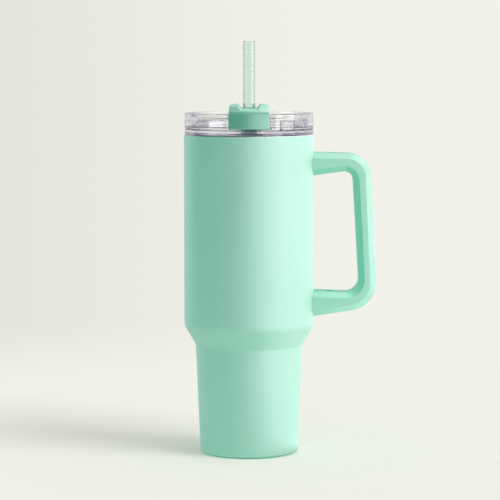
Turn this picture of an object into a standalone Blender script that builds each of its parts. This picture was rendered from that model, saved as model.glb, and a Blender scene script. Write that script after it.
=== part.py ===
"""Insulated travel mug with a side handle, a clear lid with a turning cover, and a straw.

Units are metres. +Z is up, the mug's axis is Z, the foot stands on z = 0, the handle points along +X
and the thumb bar faces -Y. Every piece is its own object, parented to the empty of the body it moves with.
"""

import math
from typing import NamedTuple

import bmesh
import bpy
from mathutils import Vector

# Clearances
SEAT_GAP = 0.0003
RUN_GAP = 0.0003

# Mug body
BODY_RADIUS = 0.04925
UPPER_BODY_HEIGHT = 0.1447
SHOULDER_HEIGHT = 0.0147
FOOT_HEIGHT = 0.0826
FOOT_TOP_RADIUS = 0.0406
FOOT_BOTTOM_RADIUS = 0.0371
SHOULDER_TOP_ROUND = 0.011
SHOULDER_BOTTOM_ROUND = 0.004
FOOT_ROUND = 0.003
FOOT_RING_WIDTH = 0.004
SHELL_WALL = 0.0006
LINER_WALL = 0.0006
VACUUM_GAP = 0.0032
LIP_INSET = 0.0004
LIP_ROUND = 0.0015
LINER_CORNER_ROUND = 0.006
LINER_SEAM_RISE = 0.008

# Base of the mug
PAD_PROUD = 0.0006
BASE_RECESS = 0.0026
BASE_WALL = 0.0006
BASE_CORNER_ROUND = 0.001
DIMPLE_RADIUS = 0.007
DIMPLE_RISE = 0.0014
EVACUATION_HOLE_RADIUS = 0.001
FLOOR_GAP = 0.005
GETTER_RADIUS = 0.005
GETTER_HEIGHT = 0.0022
GETTER_OFFSET = 0.019

# Handle outline, seen from the front
HANDLE_TOP_DROP = 0.0132
HANDLE_TOP_FALL = 0.00105
UPPER_ROOT_DEPTH = 0.0173
UPPER_ARM_DEPTH = 0.01225
LOWER_ROOT_RISE = 0.0074
LOWER_ROOT_DEPTH = 0.0192
LOWER_ARM_LIFT = 0.00725
LOWER_ARM_DEPTH = 0.01045
FINGER_GAP = 0.0290
GRIP_THICKNESS = 0.0132
GRIP_LEAN = 0.0054
UPPER_OUTER_ROUND = 0.018
UPPER_INNER_ROUND = 0.0072
LOWER_OUTER_ROUND = 0.021
LOWER_INNER_ROUND = 0.010
ROOT_EMBED = 0.002

# Handle section
HANDLE_WIDTH = 0.025
HANDLE_CHAMFER_WIDTH = 0.0045
OUTER_CHAMFER = 0.0044
INNER_CHAMFER = 0.0046
HANDLE_WALL = 0.0022
COVER_RIB_HEIGHT = 0.0018
COVER_RIB_THICKNESS = 0.0014

# Handle fixings
BRACKET_WIDTH = 0.013
BRACKET_FOOT_HEIGHT = 0.010
BRACKET_FOOT_THICKNESS = 0.0015
TONGUE_THICKNESS = 0.002
TONGUE_END = 0.0055
TONGUE_SIDE_STEP = 0.0001
SCREW_REACH = 0.0115
SCREW_RADIUS = 0.0015
SCREW_HEAD_RADIUS = 0.0029
SCREW_HEAD_HEIGHT = 0.0020
SOCKET_RADIUS = 0.0014
SOCKET_DEPTH = 0.0012
SCREW_TIP_ROOM = 0.0004
INSERT_WALL = 0.0011
BOSS_WALL = 0.0012
BOSS_ROOF = 0.0012
SLEEVE_WALL = 0.0013
PLUG_RECESS = 0.0007
PLUG_THICKNESS = 0.0013

# Lid base and its seal
LID_INSET = 0.0005
LID_BAND_HEIGHT = 0.0040
LID_PLATE = 0.0024
LID_EDGE_ROUND = 0.0006
SKIRT_CLEARANCE = 0.0012
SKIRT_WALL = 0.0023
SKIRT_DEPTH = 0.016
GROOVE_DROP = 0.005
GROOVE_HEIGHT = 0.0056
GROOVE_DEPTH = 0.0011

# Drink port, and the sip slot that lines up with it after a quarter turn
PORT_POSITION = 0.0285
PORT_DEPTH = 0.0075
PORT_WIDTH = 0.016
PORT_ROUND = 0.003
CHIMNEY_WALL = 0.0016

# Rotating cover
RING_HEIGHT = 0.0118
RING_WALL = 0.0026
RING_EDGE_ROUND = 0.0009
GUTTER_WIDTH = 0.0064
GUTTER_FLOOR = 0.0021
DOME_HEIGHT = 0.0087
DOME_ROUND = 0.006
DOME_WALL = 0.002

# Thumb bar, its stem and the straw saddle
BAR_WIDTH = 0.0305
BAR_PROUD = 0.0004
BAR_HEIGHT = 0.0129
BLOCK_LIFT = 0.0005
BLOCK_WALL = 0.0015
SEAM_HEIGHT = 0.0008
PLATFORM_INSET = 0.0016
STEM_WALL = 0.0012
BARB_HEIGHT = 0.0012
BARB_STEP = 0.0008
WASHER_THICKNESS = 0.0012
NUT_HEIGHT = 0.004
NUT_WALL = 0.0026
SADDLE_INSET = 0.0004
SADDLE_SHOULDER = 0.0034
EAR_RISE = 0.0052
EAR_SPREAD = 0.0083
NOTCH_FLOOR = 0.0017
NOTCH_FLOOR_WIDTH = 0.0118
SEAL_MARGIN = 0.0015
SEAL_POCKET = 0.0012

# Straw and its bush
STRAW_RADIUS = 0.0045
STRAW_WALL = 0.001
STRAW_RISE = 0.0467
STRAW_FLOOR_GAP = 0.004
STRAW_HOLE_GAP = 0.0005
BUSH_WALL = 0.001
BUSH_LENGTH = 0.014
BUSH_FLANGE = 0.0022
BUSH_FLANGE_THICKNESS = 0.0012

# Facets and tolerances
BODY_SEGMENTS = 40
HUB_SEGMENTS = 32
STRAW_SEGMENTS = 24
FINE_STEPS = 2
ARC_STEPS = 3
CORNER_STEPS = 5
SOCKET_SIDES = 6
CUT_MARGIN = 0.01
FILLET_SHARE = 0.45
MERGE_DISTANCE = 1e-6
SHARP_ANGLE = math.radians(35)
EMPTY_SIZE = 0.01
ORIGIN = (0, 0, 0)

# Heights and radii that follow from the sizes above
SHELL_BOTTOM = PAD_PROUD
SHOULDER_TOP = FOOT_HEIGHT + SHOULDER_HEIGHT
BODY_HEIGHT = SHOULDER_TOP + UPPER_BODY_HEIGHT
SHELL_TOP = BODY_HEIGHT - LINER_WALL - SEAT_GAP
LINER_INSET = SHELL_WALL + VACUUM_GAP + LINER_WALL
MOUTH_RADIUS = BODY_RADIUS - LINER_INSET
FOOT_RING_RADIUS = FOOT_BOTTOM_RADIUS - FOOT_RING_WIDTH
BASE_RADIUS = FOOT_RING_RADIUS - SEAT_GAP
BASE_UNDERSIDE = SHELL_BOTTOM + BASE_RECESS
BASE_TOP = BASE_UNDERSIDE + BASE_WALL
LINER_FLOOR = BASE_TOP + FLOOR_GAP + LINER_WALL
LINER_SEAM = SHOULDER_TOP + LINER_SEAM_RISE

LID_SEAT = BODY_HEIGHT + SEAT_GAP
LID_RADIUS = BODY_RADIUS - LID_INSET
SKIRT_RADIUS = MOUTH_RADIUS - SKIRT_CLEARANCE
COVER_SEAT = LID_BAND_HEIGHT + RUN_GAP
RING_INNER_RADIUS = LID_RADIUS - RING_WALL
DOME_RADIUS = RING_INNER_RADIUS - GUTTER_WIDTH

BUSH_BORE = STRAW_RADIUS + RUN_GAP
BUSH_RADIUS = BUSH_BORE + BUSH_WALL
STEM_BORE = BUSH_RADIUS + SEAT_GAP
STEM_RADIUS = STEM_BORE + STEM_WALL
HUB_BORE = STEM_RADIUS + RUN_GAP
PLATE_UNDERSIDE = -RUN_GAP - LID_PLATE
WASHER_TOP = PLATE_UNDERSIDE - RUN_GAP
NUT_TOP = WASHER_TOP - WASHER_THICKNESS - SEAT_GAP
BARB_TOP = NUT_TOP - NUT_HEIGHT - SEAT_GAP
SEAL_HALF_DEPTH = PORT_DEPTH / 2 + SEAL_MARGIN
BLOCK_BACK = PORT_POSITION - SEAL_HALF_DEPTH - SEAT_GAP - BLOCK_WALL
PLATFORM_TOP = BAR_HEIGHT + SEAM_HEIGHT - SEAT_GAP
SADDLE_BOTTOM = BAR_HEIGHT + SEAM_HEIGHT

STRAW_FOOT = LINER_FLOOR + STRAW_FLOOR_GAP
STRAW_LENGTH = LID_SEAT + COVER_SEAT + SADDLE_BOTTOM + EAR_RISE + STRAW_RISE - STRAW_FOOT


class Look(NamedTuple):
    """Name, colour and shading values of one finish."""

    name: str
    colour: tuple
    roughness: float
    metallic: float = 0.0
    alpha: float = 1.0


POWDER_COAT = Look("powder_coat", (0.40, 0.76, 0.62), 0.45)
HANDLE_PLASTIC = Look("handle_plastic", (0.40, 0.76, 0.62), 0.5)
BAR_PLASTIC = Look("bar_plastic", (0.33, 0.68, 0.55), 0.55)
BARE_STEEL = Look("bare_steel", (0.62, 0.62, 0.61), 0.35, metallic=1.0)
INSERT_BRASS = Look("insert_brass", (0.72, 0.55, 0.25), 0.35, metallic=1.0)
CLEAR_PLASTIC = Look("clear_plastic", (0.93, 0.94, 0.96), 0.08, alpha=0.3)
STRAW_PLASTIC = Look("straw_plastic", (0.80, 0.92, 0.87), 0.1, alpha=0.5)
SEAL_SILICONE = Look("seal_silicone", (0.82, 0.86, 0.85), 0.6)
PAD_SILICONE = Look("pad_silicone", (0.30, 0.50, 0.43), 0.8)
HELPER_LOOK = Look("helper", (0.5, 0.5, 0.5), 0.5)


# Outlines in a plane

def rounded(corners, steps=ARC_STEPS):
    """Join corners (a, b) or (a, b, radius) by straight runs, with an arc where a corner has a radius."""
    points = []
    for index, corner in enumerate(corners):
        here = Vector(corner[:2])
        inside = 0 < index < len(corners) - 1
        if len(corner) < 3 or not inside:
            points.append(here)
            continue
        before = Vector(corners[index - 1][:2]) - here
        after = Vector(corners[index + 1][:2]) - here
        turn = math.pi - before.angle(after)
        room = FILLET_SHARE * min(before.length, after.length)
        reach = min(corner[2] * math.tan(turn / 2), room)
        radius = reach / math.tan(turn / 2)
        start = here + before.normalized() * reach
        middle = (before.normalized() + after.normalized()).normalized()
        centre = here + middle * (radius / math.cos(turn / 2))
        side = 1 if (-before).cross(after) > 0 else -1
        for step in range(steps + 1):
            spoke = start - centre
            angle = side * turn * step / steps
            swung = Vector((
                spoke.x * math.cos(angle) - spoke.y * math.sin(angle),
                spoke.x * math.sin(angle) + spoke.y * math.cos(angle),
            ))
            points.append(centre + swung)
    return points


def offset(points, distance):
    """Shift an open outline to its left by a distance, with mitred corners."""
    shifted = []
    for index, point in enumerate(points):
        before = points[max(index - 1, 0)]
        after = points[min(index + 1, len(points) - 1)]
        first = (point - before) if index > 0 else (after - point)
        second = (after - point) if index < len(points) - 1 else first
        left_first = Vector((-first.y, first.x)).normalized()
        left_second = Vector((-second.y, second.x)).normalized()
        mitre = (left_first + left_second) / (1 + left_first.dot(left_second))
        shifted.append(point + mitre * distance)
    return shifted


def wall(path, thickness):
    """Closed outline of a wall that has its face on a path and its thickness to the path's left."""
    return path + offset(path, thickness)[::-1]


def line_at(start, end, x):
    """Height at x on the straight line through two points."""
    return start[1] + (end[1] - start[1]) * (x - start[0]) / (end[0] - start[0])


def round_rectangle(centre, size_x, size_y, radius):
    """Rectangle outline with rounded corners."""
    half_x = size_x / 2
    half_y = size_y / 2
    corners = [(-half_x, -half_y), (half_x, -half_y), (half_x, half_y), (-half_x, half_y)]
    outline = []
    for index, (x, y) in enumerate(corners):
        hub = Vector((math.copysign(half_x - radius, x), math.copysign(half_y - radius, y)))
        first = math.pi + index * math.pi / 2
        for step in range(ARC_STEPS + 1):
            angle = first + step * math.pi / 2 / ARC_STEPS
            spoke = Vector((math.cos(angle), math.sin(angle))) * radius
            outline.append(Vector(centre) + hub + spoke)
    return outline


def bar_plan(inset):
    """Plan of the thumb bar: a front arc on the lid's rim, straight sides and a round end on the axis."""
    half = BAR_WIDTH / 2 - inset
    front = LID_RADIUS + BAR_PROUD - inset
    spread = math.asin(half / front)
    outline = []
    for step in range(2 * CORNER_STEPS + 1):
        angle = -math.pi / 2 - spread + spread * step / CORNER_STEPS
        outline.append(Vector((front * math.cos(angle), front * math.sin(angle))))
    for step in range(2 * CORNER_STEPS + 1):
        angle = math.pi * step / (2 * CORNER_STEPS)
        outline.append(Vector((half * math.cos(angle), half * math.sin(angle))))
    return outline


# Meshes and objects

def clear_scene():
    """Remove every object of the scene."""
    for item in list(bpy.data.objects):
        bpy.data.objects.remove(item, do_unlink=True)


def empty(name, parent, location):
    """Empty that carries the pieces of one body, with its origin on the body's joint axis."""
    carrier = bpy.data.objects.new(name, None)
    carrier.empty_display_size = EMPTY_SIZE
    carrier.location = location
    carrier.parent = parent
    bpy.context.collection.objects.link(carrier)
    return carrier


def finish(look):
    """Principled material of one look, made at its first use."""
    material = bpy.data.materials.get(look.name)
    if material is None:
        material = bpy.data.materials.new(look.name)
        material.use_nodes = True
        shader = material.node_tree.nodes["Principled BSDF"]
        shader.inputs["Base Color"].default_value = (*look.colour, 1.0)
        shader.inputs["Roughness"].default_value = look.roughness
        shader.inputs["Metallic"].default_value = look.metallic
        shader.inputs["Alpha"].default_value = look.alpha
    return material


def add(name, shape, parent, look, location=ORIGIN):
    """Object made from a finished bmesh, with its faces turned outwards."""
    bmesh.ops.recalc_face_normals(shape, faces=shape.faces)
    mesh = bpy.data.meshes.new(name)
    shape.to_mesh(mesh)
    shape.free()
    mesh.shade_smooth()
    mesh.set_sharp_from_angle(angle=SHARP_ANGLE)
    mesh.materials.append(finish(look))
    piece = bpy.data.objects.new(name, mesh)
    piece.parent = parent
    piece.location = location
    bpy.context.collection.objects.link(piece)
    return piece


def turned(profile, segments):
    """Solid of revolution about Z from a closed outline, or from one that runs from the axis to the axis.

    A flat end on the axis is one face, so that a hole on the axis crosses no spokes.
    """
    shape = bmesh.new()
    verts = [shape.verts.new((radius, 0, height)) for radius, height in profile]
    pairs = list(zip(verts, verts[1:]))
    on_axis = max(profile[0][0], profile[-1][0]) < MERGE_DISTANCE
    if not on_axis:
        pairs.append((verts[-1], verts[0]))
    edges = [shape.edges.new(pair) for pair in pairs]
    bmesh.ops.spin(
        shape, geom=verts + edges, cent=ORIGIN, axis=(0, 0, 1), angle=2 * math.pi, steps=segments,
        use_merge=True,
    )
    bmesh.ops.remove_doubles(shape, verts=shape.verts, dist=MERGE_DISTANCE)
    bmesh.ops.dissolve_degenerate(shape, edges=shape.edges, dist=MERGE_DISTANCE)
    poles = [vert for vert in shape.verts if vert.co.xy.length < MERGE_DISTANCE]
    bmesh.ops.dissolve_verts(shape, verts=poles)
    return shape


def disc(radius, bottom, top, segments):
    """Solid round disc or rod about Z."""
    return turned([(0, bottom), (radius, bottom), (radius, top), (0, top)], segments)


def tube(inner, outer, bottom, top, segments):
    """Round tube about Z."""
    return turned([(inner, bottom), (outer, bottom), (outer, top), (inner, top)], segments)


def prism(outline, bottom, top):
    """Outline in plan, extruded from one height to another."""
    shape = bmesh.new()
    face = shape.faces.new([shape.verts.new((x, y, bottom)) for x, y in outline])
    raised = bmesh.ops.extrude_face_region(shape, geom=[face])
    moved = [item for item in raised["geom"] if isinstance(item, bmesh.types.BMVert)]
    bmesh.ops.translate(shape, verts=moved, vec=(0, 0, top - bottom))
    return shape


def box(low, high):
    """Box between two corners."""
    outline = [(low[0], low[1]), (high[0], low[1]), (high[0], high[1]), (low[0], high[1])]
    return prism(outline, low[2], high[2])


def lofted(rings):
    """Skin through closed rings of equal count, with both ends capped."""
    shape = bmesh.new()
    loops = [[shape.verts.new(point) for point in ring] for ring in rings]
    for near, far in zip(loops, loops[1:]):
        for index in range(len(near)):
            following = (index + 1) % len(near)
            shape.faces.new((near[index], near[following], far[following], far[index]))
    shape.faces.new(loops[0][::-1])
    shape.faces.new(loops[-1])
    bmesh.ops.triangulate(shape, faces=shape.faces)
    return shape


def combine(piece, operation, name, shape, location=ORIGIN):
    """Boolean on a piece with a helper shape, which stays in the scene as a hidden wire object."""
    helper = add(name, shape, piece.parent, HELPER_LOOK, location)
    helper.hide_render = True
    helper.display_type = "WIRE"
    modifier = piece.modifiers.new(name, "BOOLEAN")
    modifier.operation = operation
    modifier.solver = "EXACT"
    modifier.object = helper


# Mug body

def body_corners():
    """Corners of the mug's outside, from the drinking lip down to the floor."""
    return [
        Vector((BODY_RADIUS, BODY_HEIGHT)),
        Vector((BODY_RADIUS, SHOULDER_TOP)),
        Vector((FOOT_TOP_RADIUS, FOOT_HEIGHT)),
        Vector((FOOT_BOTTOM_RADIUS, SHELL_BOTTOM)),
    ]


def outer_shell(mug):
    """Coated steel wall from under the drinking lip down to the ring of the foot."""
    top, shoulder, waist, foot = body_corners()
    path = rounded([
        (top.x, SHELL_TOP),
        (*shoulder, SHOULDER_TOP_ROUND),
        (*waist, SHOULDER_BOTTOM_ROUND),
        (*foot, FOOT_ROUND),
        (FOOT_RING_RADIUS, SHELL_BOTTOM),
    ])
    add("outer_shell", turned(wall(path, -SHELL_WALL), BODY_SEGMENTS), mug, POWDER_COAT)


def inner_liner(mug):
    """Bare steel vessel inside the vacuum gap: a wall with a turned-out lip, and the cup welded under it."""
    top, shoulder, waist, foot = offset(body_corners(), -LINER_INSET)
    slope = (foot.x - waist.x) / (foot.y - waist.y)
    floor_radius = waist.x + slope * (LINER_FLOOR - waist.y)
    wall_path = rounded([
        (BODY_RADIUS - LIP_INSET, BODY_HEIGHT),
        (top.x, BODY_HEIGHT, LIP_ROUND),
        (top.x, LINER_SEAM + SEAT_GAP),
    ], FINE_STEPS)
    add("liner_wall", turned(wall(wall_path, LINER_WALL), BODY_SEGMENTS), mug, BARE_STEEL)

    cup_path = rounded([
        (top.x, LINER_SEAM),
        (*shoulder, SHOULDER_TOP_ROUND - LINER_INSET),
        (*waist, SHOULDER_BOTTOM_ROUND + LINER_INSET),
        (floor_radius, LINER_FLOOR, LINER_CORNER_ROUND),
        (0, LINER_FLOOR),
    ], FINE_STEPS)
    cup_profile = cup_path[::-1] + offset(cup_path, LINER_WALL)
    add("liner_cup", turned(cup_profile, BODY_SEGMENTS), mug, BARE_STEEL)


def mug_base(mug):
    """End plate in the foot with its sealed dimple, the getter above it and the silicone pad below it."""
    path = rounded([
        (BASE_RADIUS, SHELL_BOTTOM),
        (BASE_RADIUS, BASE_TOP, BASE_CORNER_ROUND),
        (DIMPLE_RADIUS + DIMPLE_RISE, BASE_TOP),
        (DIMPLE_RADIUS, BASE_TOP + DIMPLE_RISE),
        (EVACUATION_HOLE_RADIUS, BASE_TOP + DIMPLE_RISE),
    ])
    add("outer_base", turned(wall(path, BASE_WALL), BODY_SEGMENTS), mug, BARE_STEEL)

    pad_top = BASE_UNDERSIDE - SEAT_GAP
    pad_radius = BASE_RADIUS - BASE_WALL - SEAT_GAP
    add("base_pad", disc(pad_radius, 0, pad_top, BODY_SEGMENTS), mug, PAD_SILICONE)

    plug_top = BASE_UNDERSIDE + DIMPLE_RISE - SEAT_GAP
    plug_radius = DIMPLE_RADIUS - BASE_WALL - SEAT_GAP
    add("vacuum_plug", disc(plug_radius, BASE_UNDERSIDE, plug_top, HUB_SEGMENTS), mug, BARE_STEEL)

    pellet = disc(GETTER_RADIUS, 0, GETTER_HEIGHT, STRAW_SEGMENTS)
    add("getter_pellet", pellet, mug, BARE_STEEL, (-GETTER_OFFSET, 0, BASE_TOP + SEAT_GAP))


# Handle

def handle_rails():
    """Outer and inner edge of the handle seen from the front, from the upper arm round to the lower arm."""
    root = math.sqrt(BODY_RADIUS**2 - (HANDLE_WIDTH / 2) ** 2) - ROOT_EMBED
    top = BODY_HEIGHT - HANDLE_TOP_DROP
    low = SHOULDER_TOP + LOWER_ROOT_RISE
    grip = BODY_RADIUS + FINGER_GAP
    face = grip + GRIP_THICKNESS
    outer = [
        (BODY_RADIUS, top),
        (face, top - HANDLE_TOP_FALL, UPPER_OUTER_ROUND),
        (face + GRIP_LEAN, low + LOWER_ARM_LIFT, LOWER_OUTER_ROUND),
        (BODY_RADIUS, low),
    ]
    inner = [
        (BODY_RADIUS, top - UPPER_ROOT_DEPTH),
        (grip, top - HANDLE_TOP_FALL - UPPER_ARM_DEPTH, UPPER_INNER_ROUND),
        (grip + GRIP_LEAN, low + LOWER_ARM_LIFT + LOWER_ARM_DEPTH, LOWER_INNER_ROUND),
        (BODY_RADIUS, low + LOWER_ROOT_DEPTH),
    ]
    for rail in (outer, inner):
        rail[0] = (root, line_at(rail[0], rail[1], root))
        rail[-1] = (root, line_at(rail[-2], rail[-1], root))
    return outer, inner


def handle_rings(section):
    """Rings of a handle section, which is a function of half its thickness, carried along both rails."""
    outer, inner = (rounded(rail, CORNER_STEPS) for rail in handle_rails())
    rings = []
    for far, near in zip(outer, inner):
        middle = (far + near) / 2
        outward = (far - near).normalized()
        ring = []
        for out, across in section((far - near).length / 2):
            point = middle + outward * out
            ring.append((point.x, across, point.y))
        rings.append(ring)
    return rings


def outer_shell_section(half):
    """Section of the handle's outer moulding: an open channel with two outer chamfers."""
    side = HANDLE_WIDTH / 2
    parting = INNER_CHAMFER - half
    path = [Vector(point) for point in (
        (parting, -side),
        (half - OUTER_CHAMFER, -side),
        (half, HANDLE_CHAMFER_WIDTH - side),
        (half, side - HANDLE_CHAMFER_WIDTH),
        (half - OUTER_CHAMFER, side),
        (parting, side),
    )]
    return wall(path, HANDLE_WALL)


def inner_cover_section(half):
    """Section of the handle's inner cover: two inner chamfers, and two ribs inside the outer moulding."""
    side = HANDLE_WIDTH / 2
    parting = INNER_CHAMFER - half - SEAT_GAP
    rib_side = side - HANDLE_WALL - SEAT_GAP
    rib_inside = rib_side - COVER_RIB_THICKNESS
    rib_top = parting + COVER_RIB_HEIGHT
    floor_side = side - HANDLE_CHAMFER_WIDTH
    right = [
        (-half, floor_side),
        (parting, side),
        (parting, rib_side),
        (rib_top, rib_side),
        (rib_top, rib_inside),
        (HANDLE_WALL - half, min(floor_side, rib_inside)),
    ]
    left = [(out, -across) for out, across in right[::-1]]
    return right + left


class Fixing:
    """One arm's bracket, screw, insert and plug, on a vertical axis at a distance from the body.

    The screw goes in from the finger gap: from below in the upper arm and from above in the lower arm.
    """

    def __init__(self, name, towards_gap):
        self.name = name
        self.towards_gap = towards_gap
        self.x = BODY_RADIUS + SCREW_REACH
        outer, inner = handle_rails()
        ends = slice(0, 2) if towards_gap < 0 else slice(2, 4)
        cover_face = line_at(*(corner[:2] for corner in inner[ends]), self.x)
        shell_face = line_at(*(corner[:2] for corner in outer[ends]), self.x)
        self.z = (cover_face + shell_face) / 2
        self.cover_face = abs(cover_face - self.z)
        self.shell_face = abs(shell_face - self.z)
        self.tongue_face = TONGUE_THICKNESS / 2 + SEAT_GAP
        self.plug_face = self.cover_face - PLUG_RECESS
        self.head_top = self.plug_face - PLUG_THICKNESS - SEAT_GAP
        self.head_seat = self.head_top - SCREW_HEAD_HEIGHT
        self.insert_bore = SCREW_RADIUS + SEAT_GAP
        self.insert_radius = self.insert_bore + INSERT_WALL
        self.insert_end = self.shell_face - BOSS_ROOF - SEAT_GAP

    def height(self, distance):
        """Height at a distance from the tongue's middle, positive towards the finger gap."""
        return distance * self.towards_gap

    def rod(self, radius, near, far):
        """Round rod on the screw's axis between two distances from the tongue's middle."""
        ends = sorted((self.height(near), self.height(far)))
        return disc(radius, *ends, STRAW_SEGMENTS)

    def place(self):
        """Point on the screw's axis at the tongue's middle."""
        return (self.x, 0, self.z)

    def shape_outer_shell(self, shell):
        """Boss on the outer moulding, with a blind hole for the insert."""
        hole = self.insert_radius + SEAT_GAP
        boss_end = -(self.shell_face - HANDLE_WALL / 2)
        boss = self.rod(hole + BOSS_WALL, -self.tongue_face, boss_end)
        combine(shell, "UNION", self.name + "_boss", boss, self.place())
        pocket = self.rod(hole, 0, -(self.shell_face - BOSS_ROOF))
        combine(shell, "DIFFERENCE", self.name + "_boss_hole", pocket, self.place())

    def shape_inner_cover(self, cover):
        """Sleeve on the inner cover, with a stepped hole for the screw, its head and its plug."""
        recess = SCREW_HEAD_RADIUS + SEAT_GAP
        sleeve_end = self.cover_face - HANDLE_WALL / 2
        sleeve = self.rod(recess + SLEEVE_WALL, self.tongue_face, sleeve_end)
        combine(cover, "UNION", self.name + "_sleeve", sleeve, self.place())
        shank = SCREW_RADIUS + SEAT_GAP
        seat = self.height(self.head_seat - SEAT_GAP)
        mouth = self.height(self.cover_face + CUT_MARGIN)
        stepped = turned([(0, 0), (shank, 0), (shank, seat), (recess, seat), (recess, mouth), (0, mouth)],
                         STRAW_SEGMENTS)
        combine(cover, "DIFFERENCE", self.name + "_screw_hole", stepped, self.place())

    def bracket(self, carrier):
        """Steel foot that follows the shell, with a tongue that the screw passes through."""
        half = BRACKET_WIDTH / 2
        inside = BODY_RADIUS + SEAT_GAP
        outside = inside + BRACKET_FOOT_THICKNESS
        spread = math.asin(half / inside)
        near = []
        far = []
        for step in range(2 * ARC_STEPS + 1):
            angle = spread * (step / ARC_STEPS - 1)
            near.append((inside * math.cos(angle), inside * math.sin(angle)))
            far.append((outside * math.cos(angle), outside * math.sin(angle)))
        foot = prism(near[::-1] + far, -BRACKET_FOOT_HEIGHT / 2, BRACKET_FOOT_HEIGHT / 2)
        piece = add(self.name + "_bracket", foot, carrier, BARE_STEEL, (0, 0, self.z))
        tongue_tip = self.x + TONGUE_END
        tongue_root = inside + BRACKET_FOOT_THICKNESS / 2
        thick = TONGUE_THICKNESS / 2
        side = half - TONGUE_SIDE_STEP
        tongue = box((tongue_root, -side, -thick), (tongue_tip, side, thick))
        combine(piece, "UNION", self.name + "_tongue", tongue, (0, 0, self.z))
        hole = self.rod(SCREW_RADIUS + SEAT_GAP, -CUT_MARGIN, CUT_MARGIN)
        combine(piece, "DIFFERENCE", self.name + "_tongue_hole", hole, self.place())

    def screw(self, carrier):
        """Socket-head screw."""
        tip = -(self.insert_end - SCREW_TIP_ROOM)
        profile = [
            (0, self.height(tip)),
            (SCREW_RADIUS, self.height(tip)),
            (SCREW_RADIUS, self.height(self.head_seat)),
            (SCREW_HEAD_RADIUS, self.height(self.head_seat)),
            (SCREW_HEAD_RADIUS, self.height(self.head_top)),
            (0, self.height(self.head_top)),
        ]
        piece = add(self.name + "_screw", turned(profile, STRAW_SEGMENTS), carrier, BARE_STEEL, self.place())
        ends = sorted((self.height(self.head_top - SOCKET_DEPTH), self.height(self.head_top + SOCKET_DEPTH)))
        socket = disc(SOCKET_RADIUS, *ends, SOCKET_SIDES)
        combine(piece, "DIFFERENCE", self.name + "_socket", socket, self.place())

    def insert(self, carrier):
        """Brass threaded insert in the boss, shown with a plain bore."""
        ends = sorted((self.height(-self.tongue_face - SEAT_GAP), self.height(-self.insert_end)))
        sleeve = tube(self.insert_bore, self.insert_radius, *ends, STRAW_SEGMENTS)
        add(self.name + "_insert", sleeve, carrier, INSERT_BRASS, self.place())

    def plug(self, carrier):
        """Cap over the screw head, just below the cover's face."""
        cap = self.rod(SCREW_HEAD_RADIUS, self.plug_face - PLUG_THICKNESS, self.plug_face)
        add(self.name + "_screw_plug", cap, carrier, HANDLE_PLASTIC, self.place())


def handle(mug):
    """Two mouldings of the handle and the fixings that hold both arms to the shell."""
    shell = add("handle_outer_shell", lofted(handle_rings(outer_shell_section)), mug, HANDLE_PLASTIC)
    cover = add("handle_inner_cover", lofted(handle_rings(inner_cover_section)), mug, HANDLE_PLASTIC)
    fixings = (Fixing("upper", -1), Fixing("lower", 1))
    for fixing in fixings:
        fixing.shape_outer_shell(shell)
        fixing.shape_inner_cover(cover)
        fixing.bracket(mug)
        fixing.screw(mug)
        fixing.insert(mug)
        fixing.plug(mug)
    for piece in (shell, cover):
        body = disc(BODY_RADIUS + SEAT_GAP, 0, BODY_HEIGHT + CUT_MARGIN, 2 * BODY_SEGMENTS)
        combine(piece, "DIFFERENCE", piece.name + "_body_cut", body)


# Lid

def port_outline(centre, along_x, margin=0.0):
    """Rounded plan of the drink port, or of the sip slot that lines up with it, with a margin all round."""
    deep = PORT_DEPTH + 2 * margin
    wide = PORT_WIDTH + 2 * margin
    size = (deep, wide) if along_x else (wide, deep)
    return round_rectangle(centre, *size, PORT_ROUND + margin)


def lid_base(lid):
    """Clear base: a band on the drinking lip, a flat plate, and a skirt with the seal's groove."""
    groove_radius = SKIRT_RADIUS - GROOVE_DEPTH
    groove_bottom = -GROOVE_DROP - GROOVE_HEIGHT
    plate_underside = LID_BAND_HEIGHT - LID_PLATE
    profile = rounded([
        (HUB_BORE, LID_BAND_HEIGHT),
        (LID_RADIUS, LID_BAND_HEIGHT, LID_EDGE_ROUND),
        (LID_RADIUS, 0, LID_EDGE_ROUND),
        (SKIRT_RADIUS, 0),
        (SKIRT_RADIUS, -GROOVE_DROP),
        (groove_radius, -GROOVE_DROP),
        (groove_radius, groove_bottom),
        (SKIRT_RADIUS, groove_bottom),
        (SKIRT_RADIUS, -SKIRT_DEPTH),
        (SKIRT_RADIUS - SKIRT_WALL, -SKIRT_DEPTH),
        (SKIRT_RADIUS - SKIRT_WALL, plate_underside),
        (HUB_BORE, plate_underside),
    ], FINE_STEPS)
    piece = add("lid_base", turned(profile, BODY_SEGMENTS), lid, CLEAR_PLASTIC)
    port = prism(port_outline((0, -PORT_POSITION), False), -CUT_MARGIN, CUT_MARGIN)
    combine(piece, "DIFFERENCE", "drink_port", port)

    seal_radius = groove_radius + SEAT_GAP
    seal_lip = MOUTH_RADIUS - RUN_GAP
    low = groove_bottom + SEAT_GAP
    high = -GROOVE_DROP - SEAT_GAP
    quarter = (high - low) / 4
    seal = [
        (seal_radius, low),
        (SKIRT_RADIUS, low),
        (seal_lip, low + quarter),
        (SKIRT_RADIUS, low + 2 * quarter),
        (seal_lip, low + 3 * quarter),
        (SKIRT_RADIUS, high),
        (seal_radius, high),
    ]
    add("lid_gasket", turned(seal, BODY_SEGMENTS), lid, SEAL_SILICONE)


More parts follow.
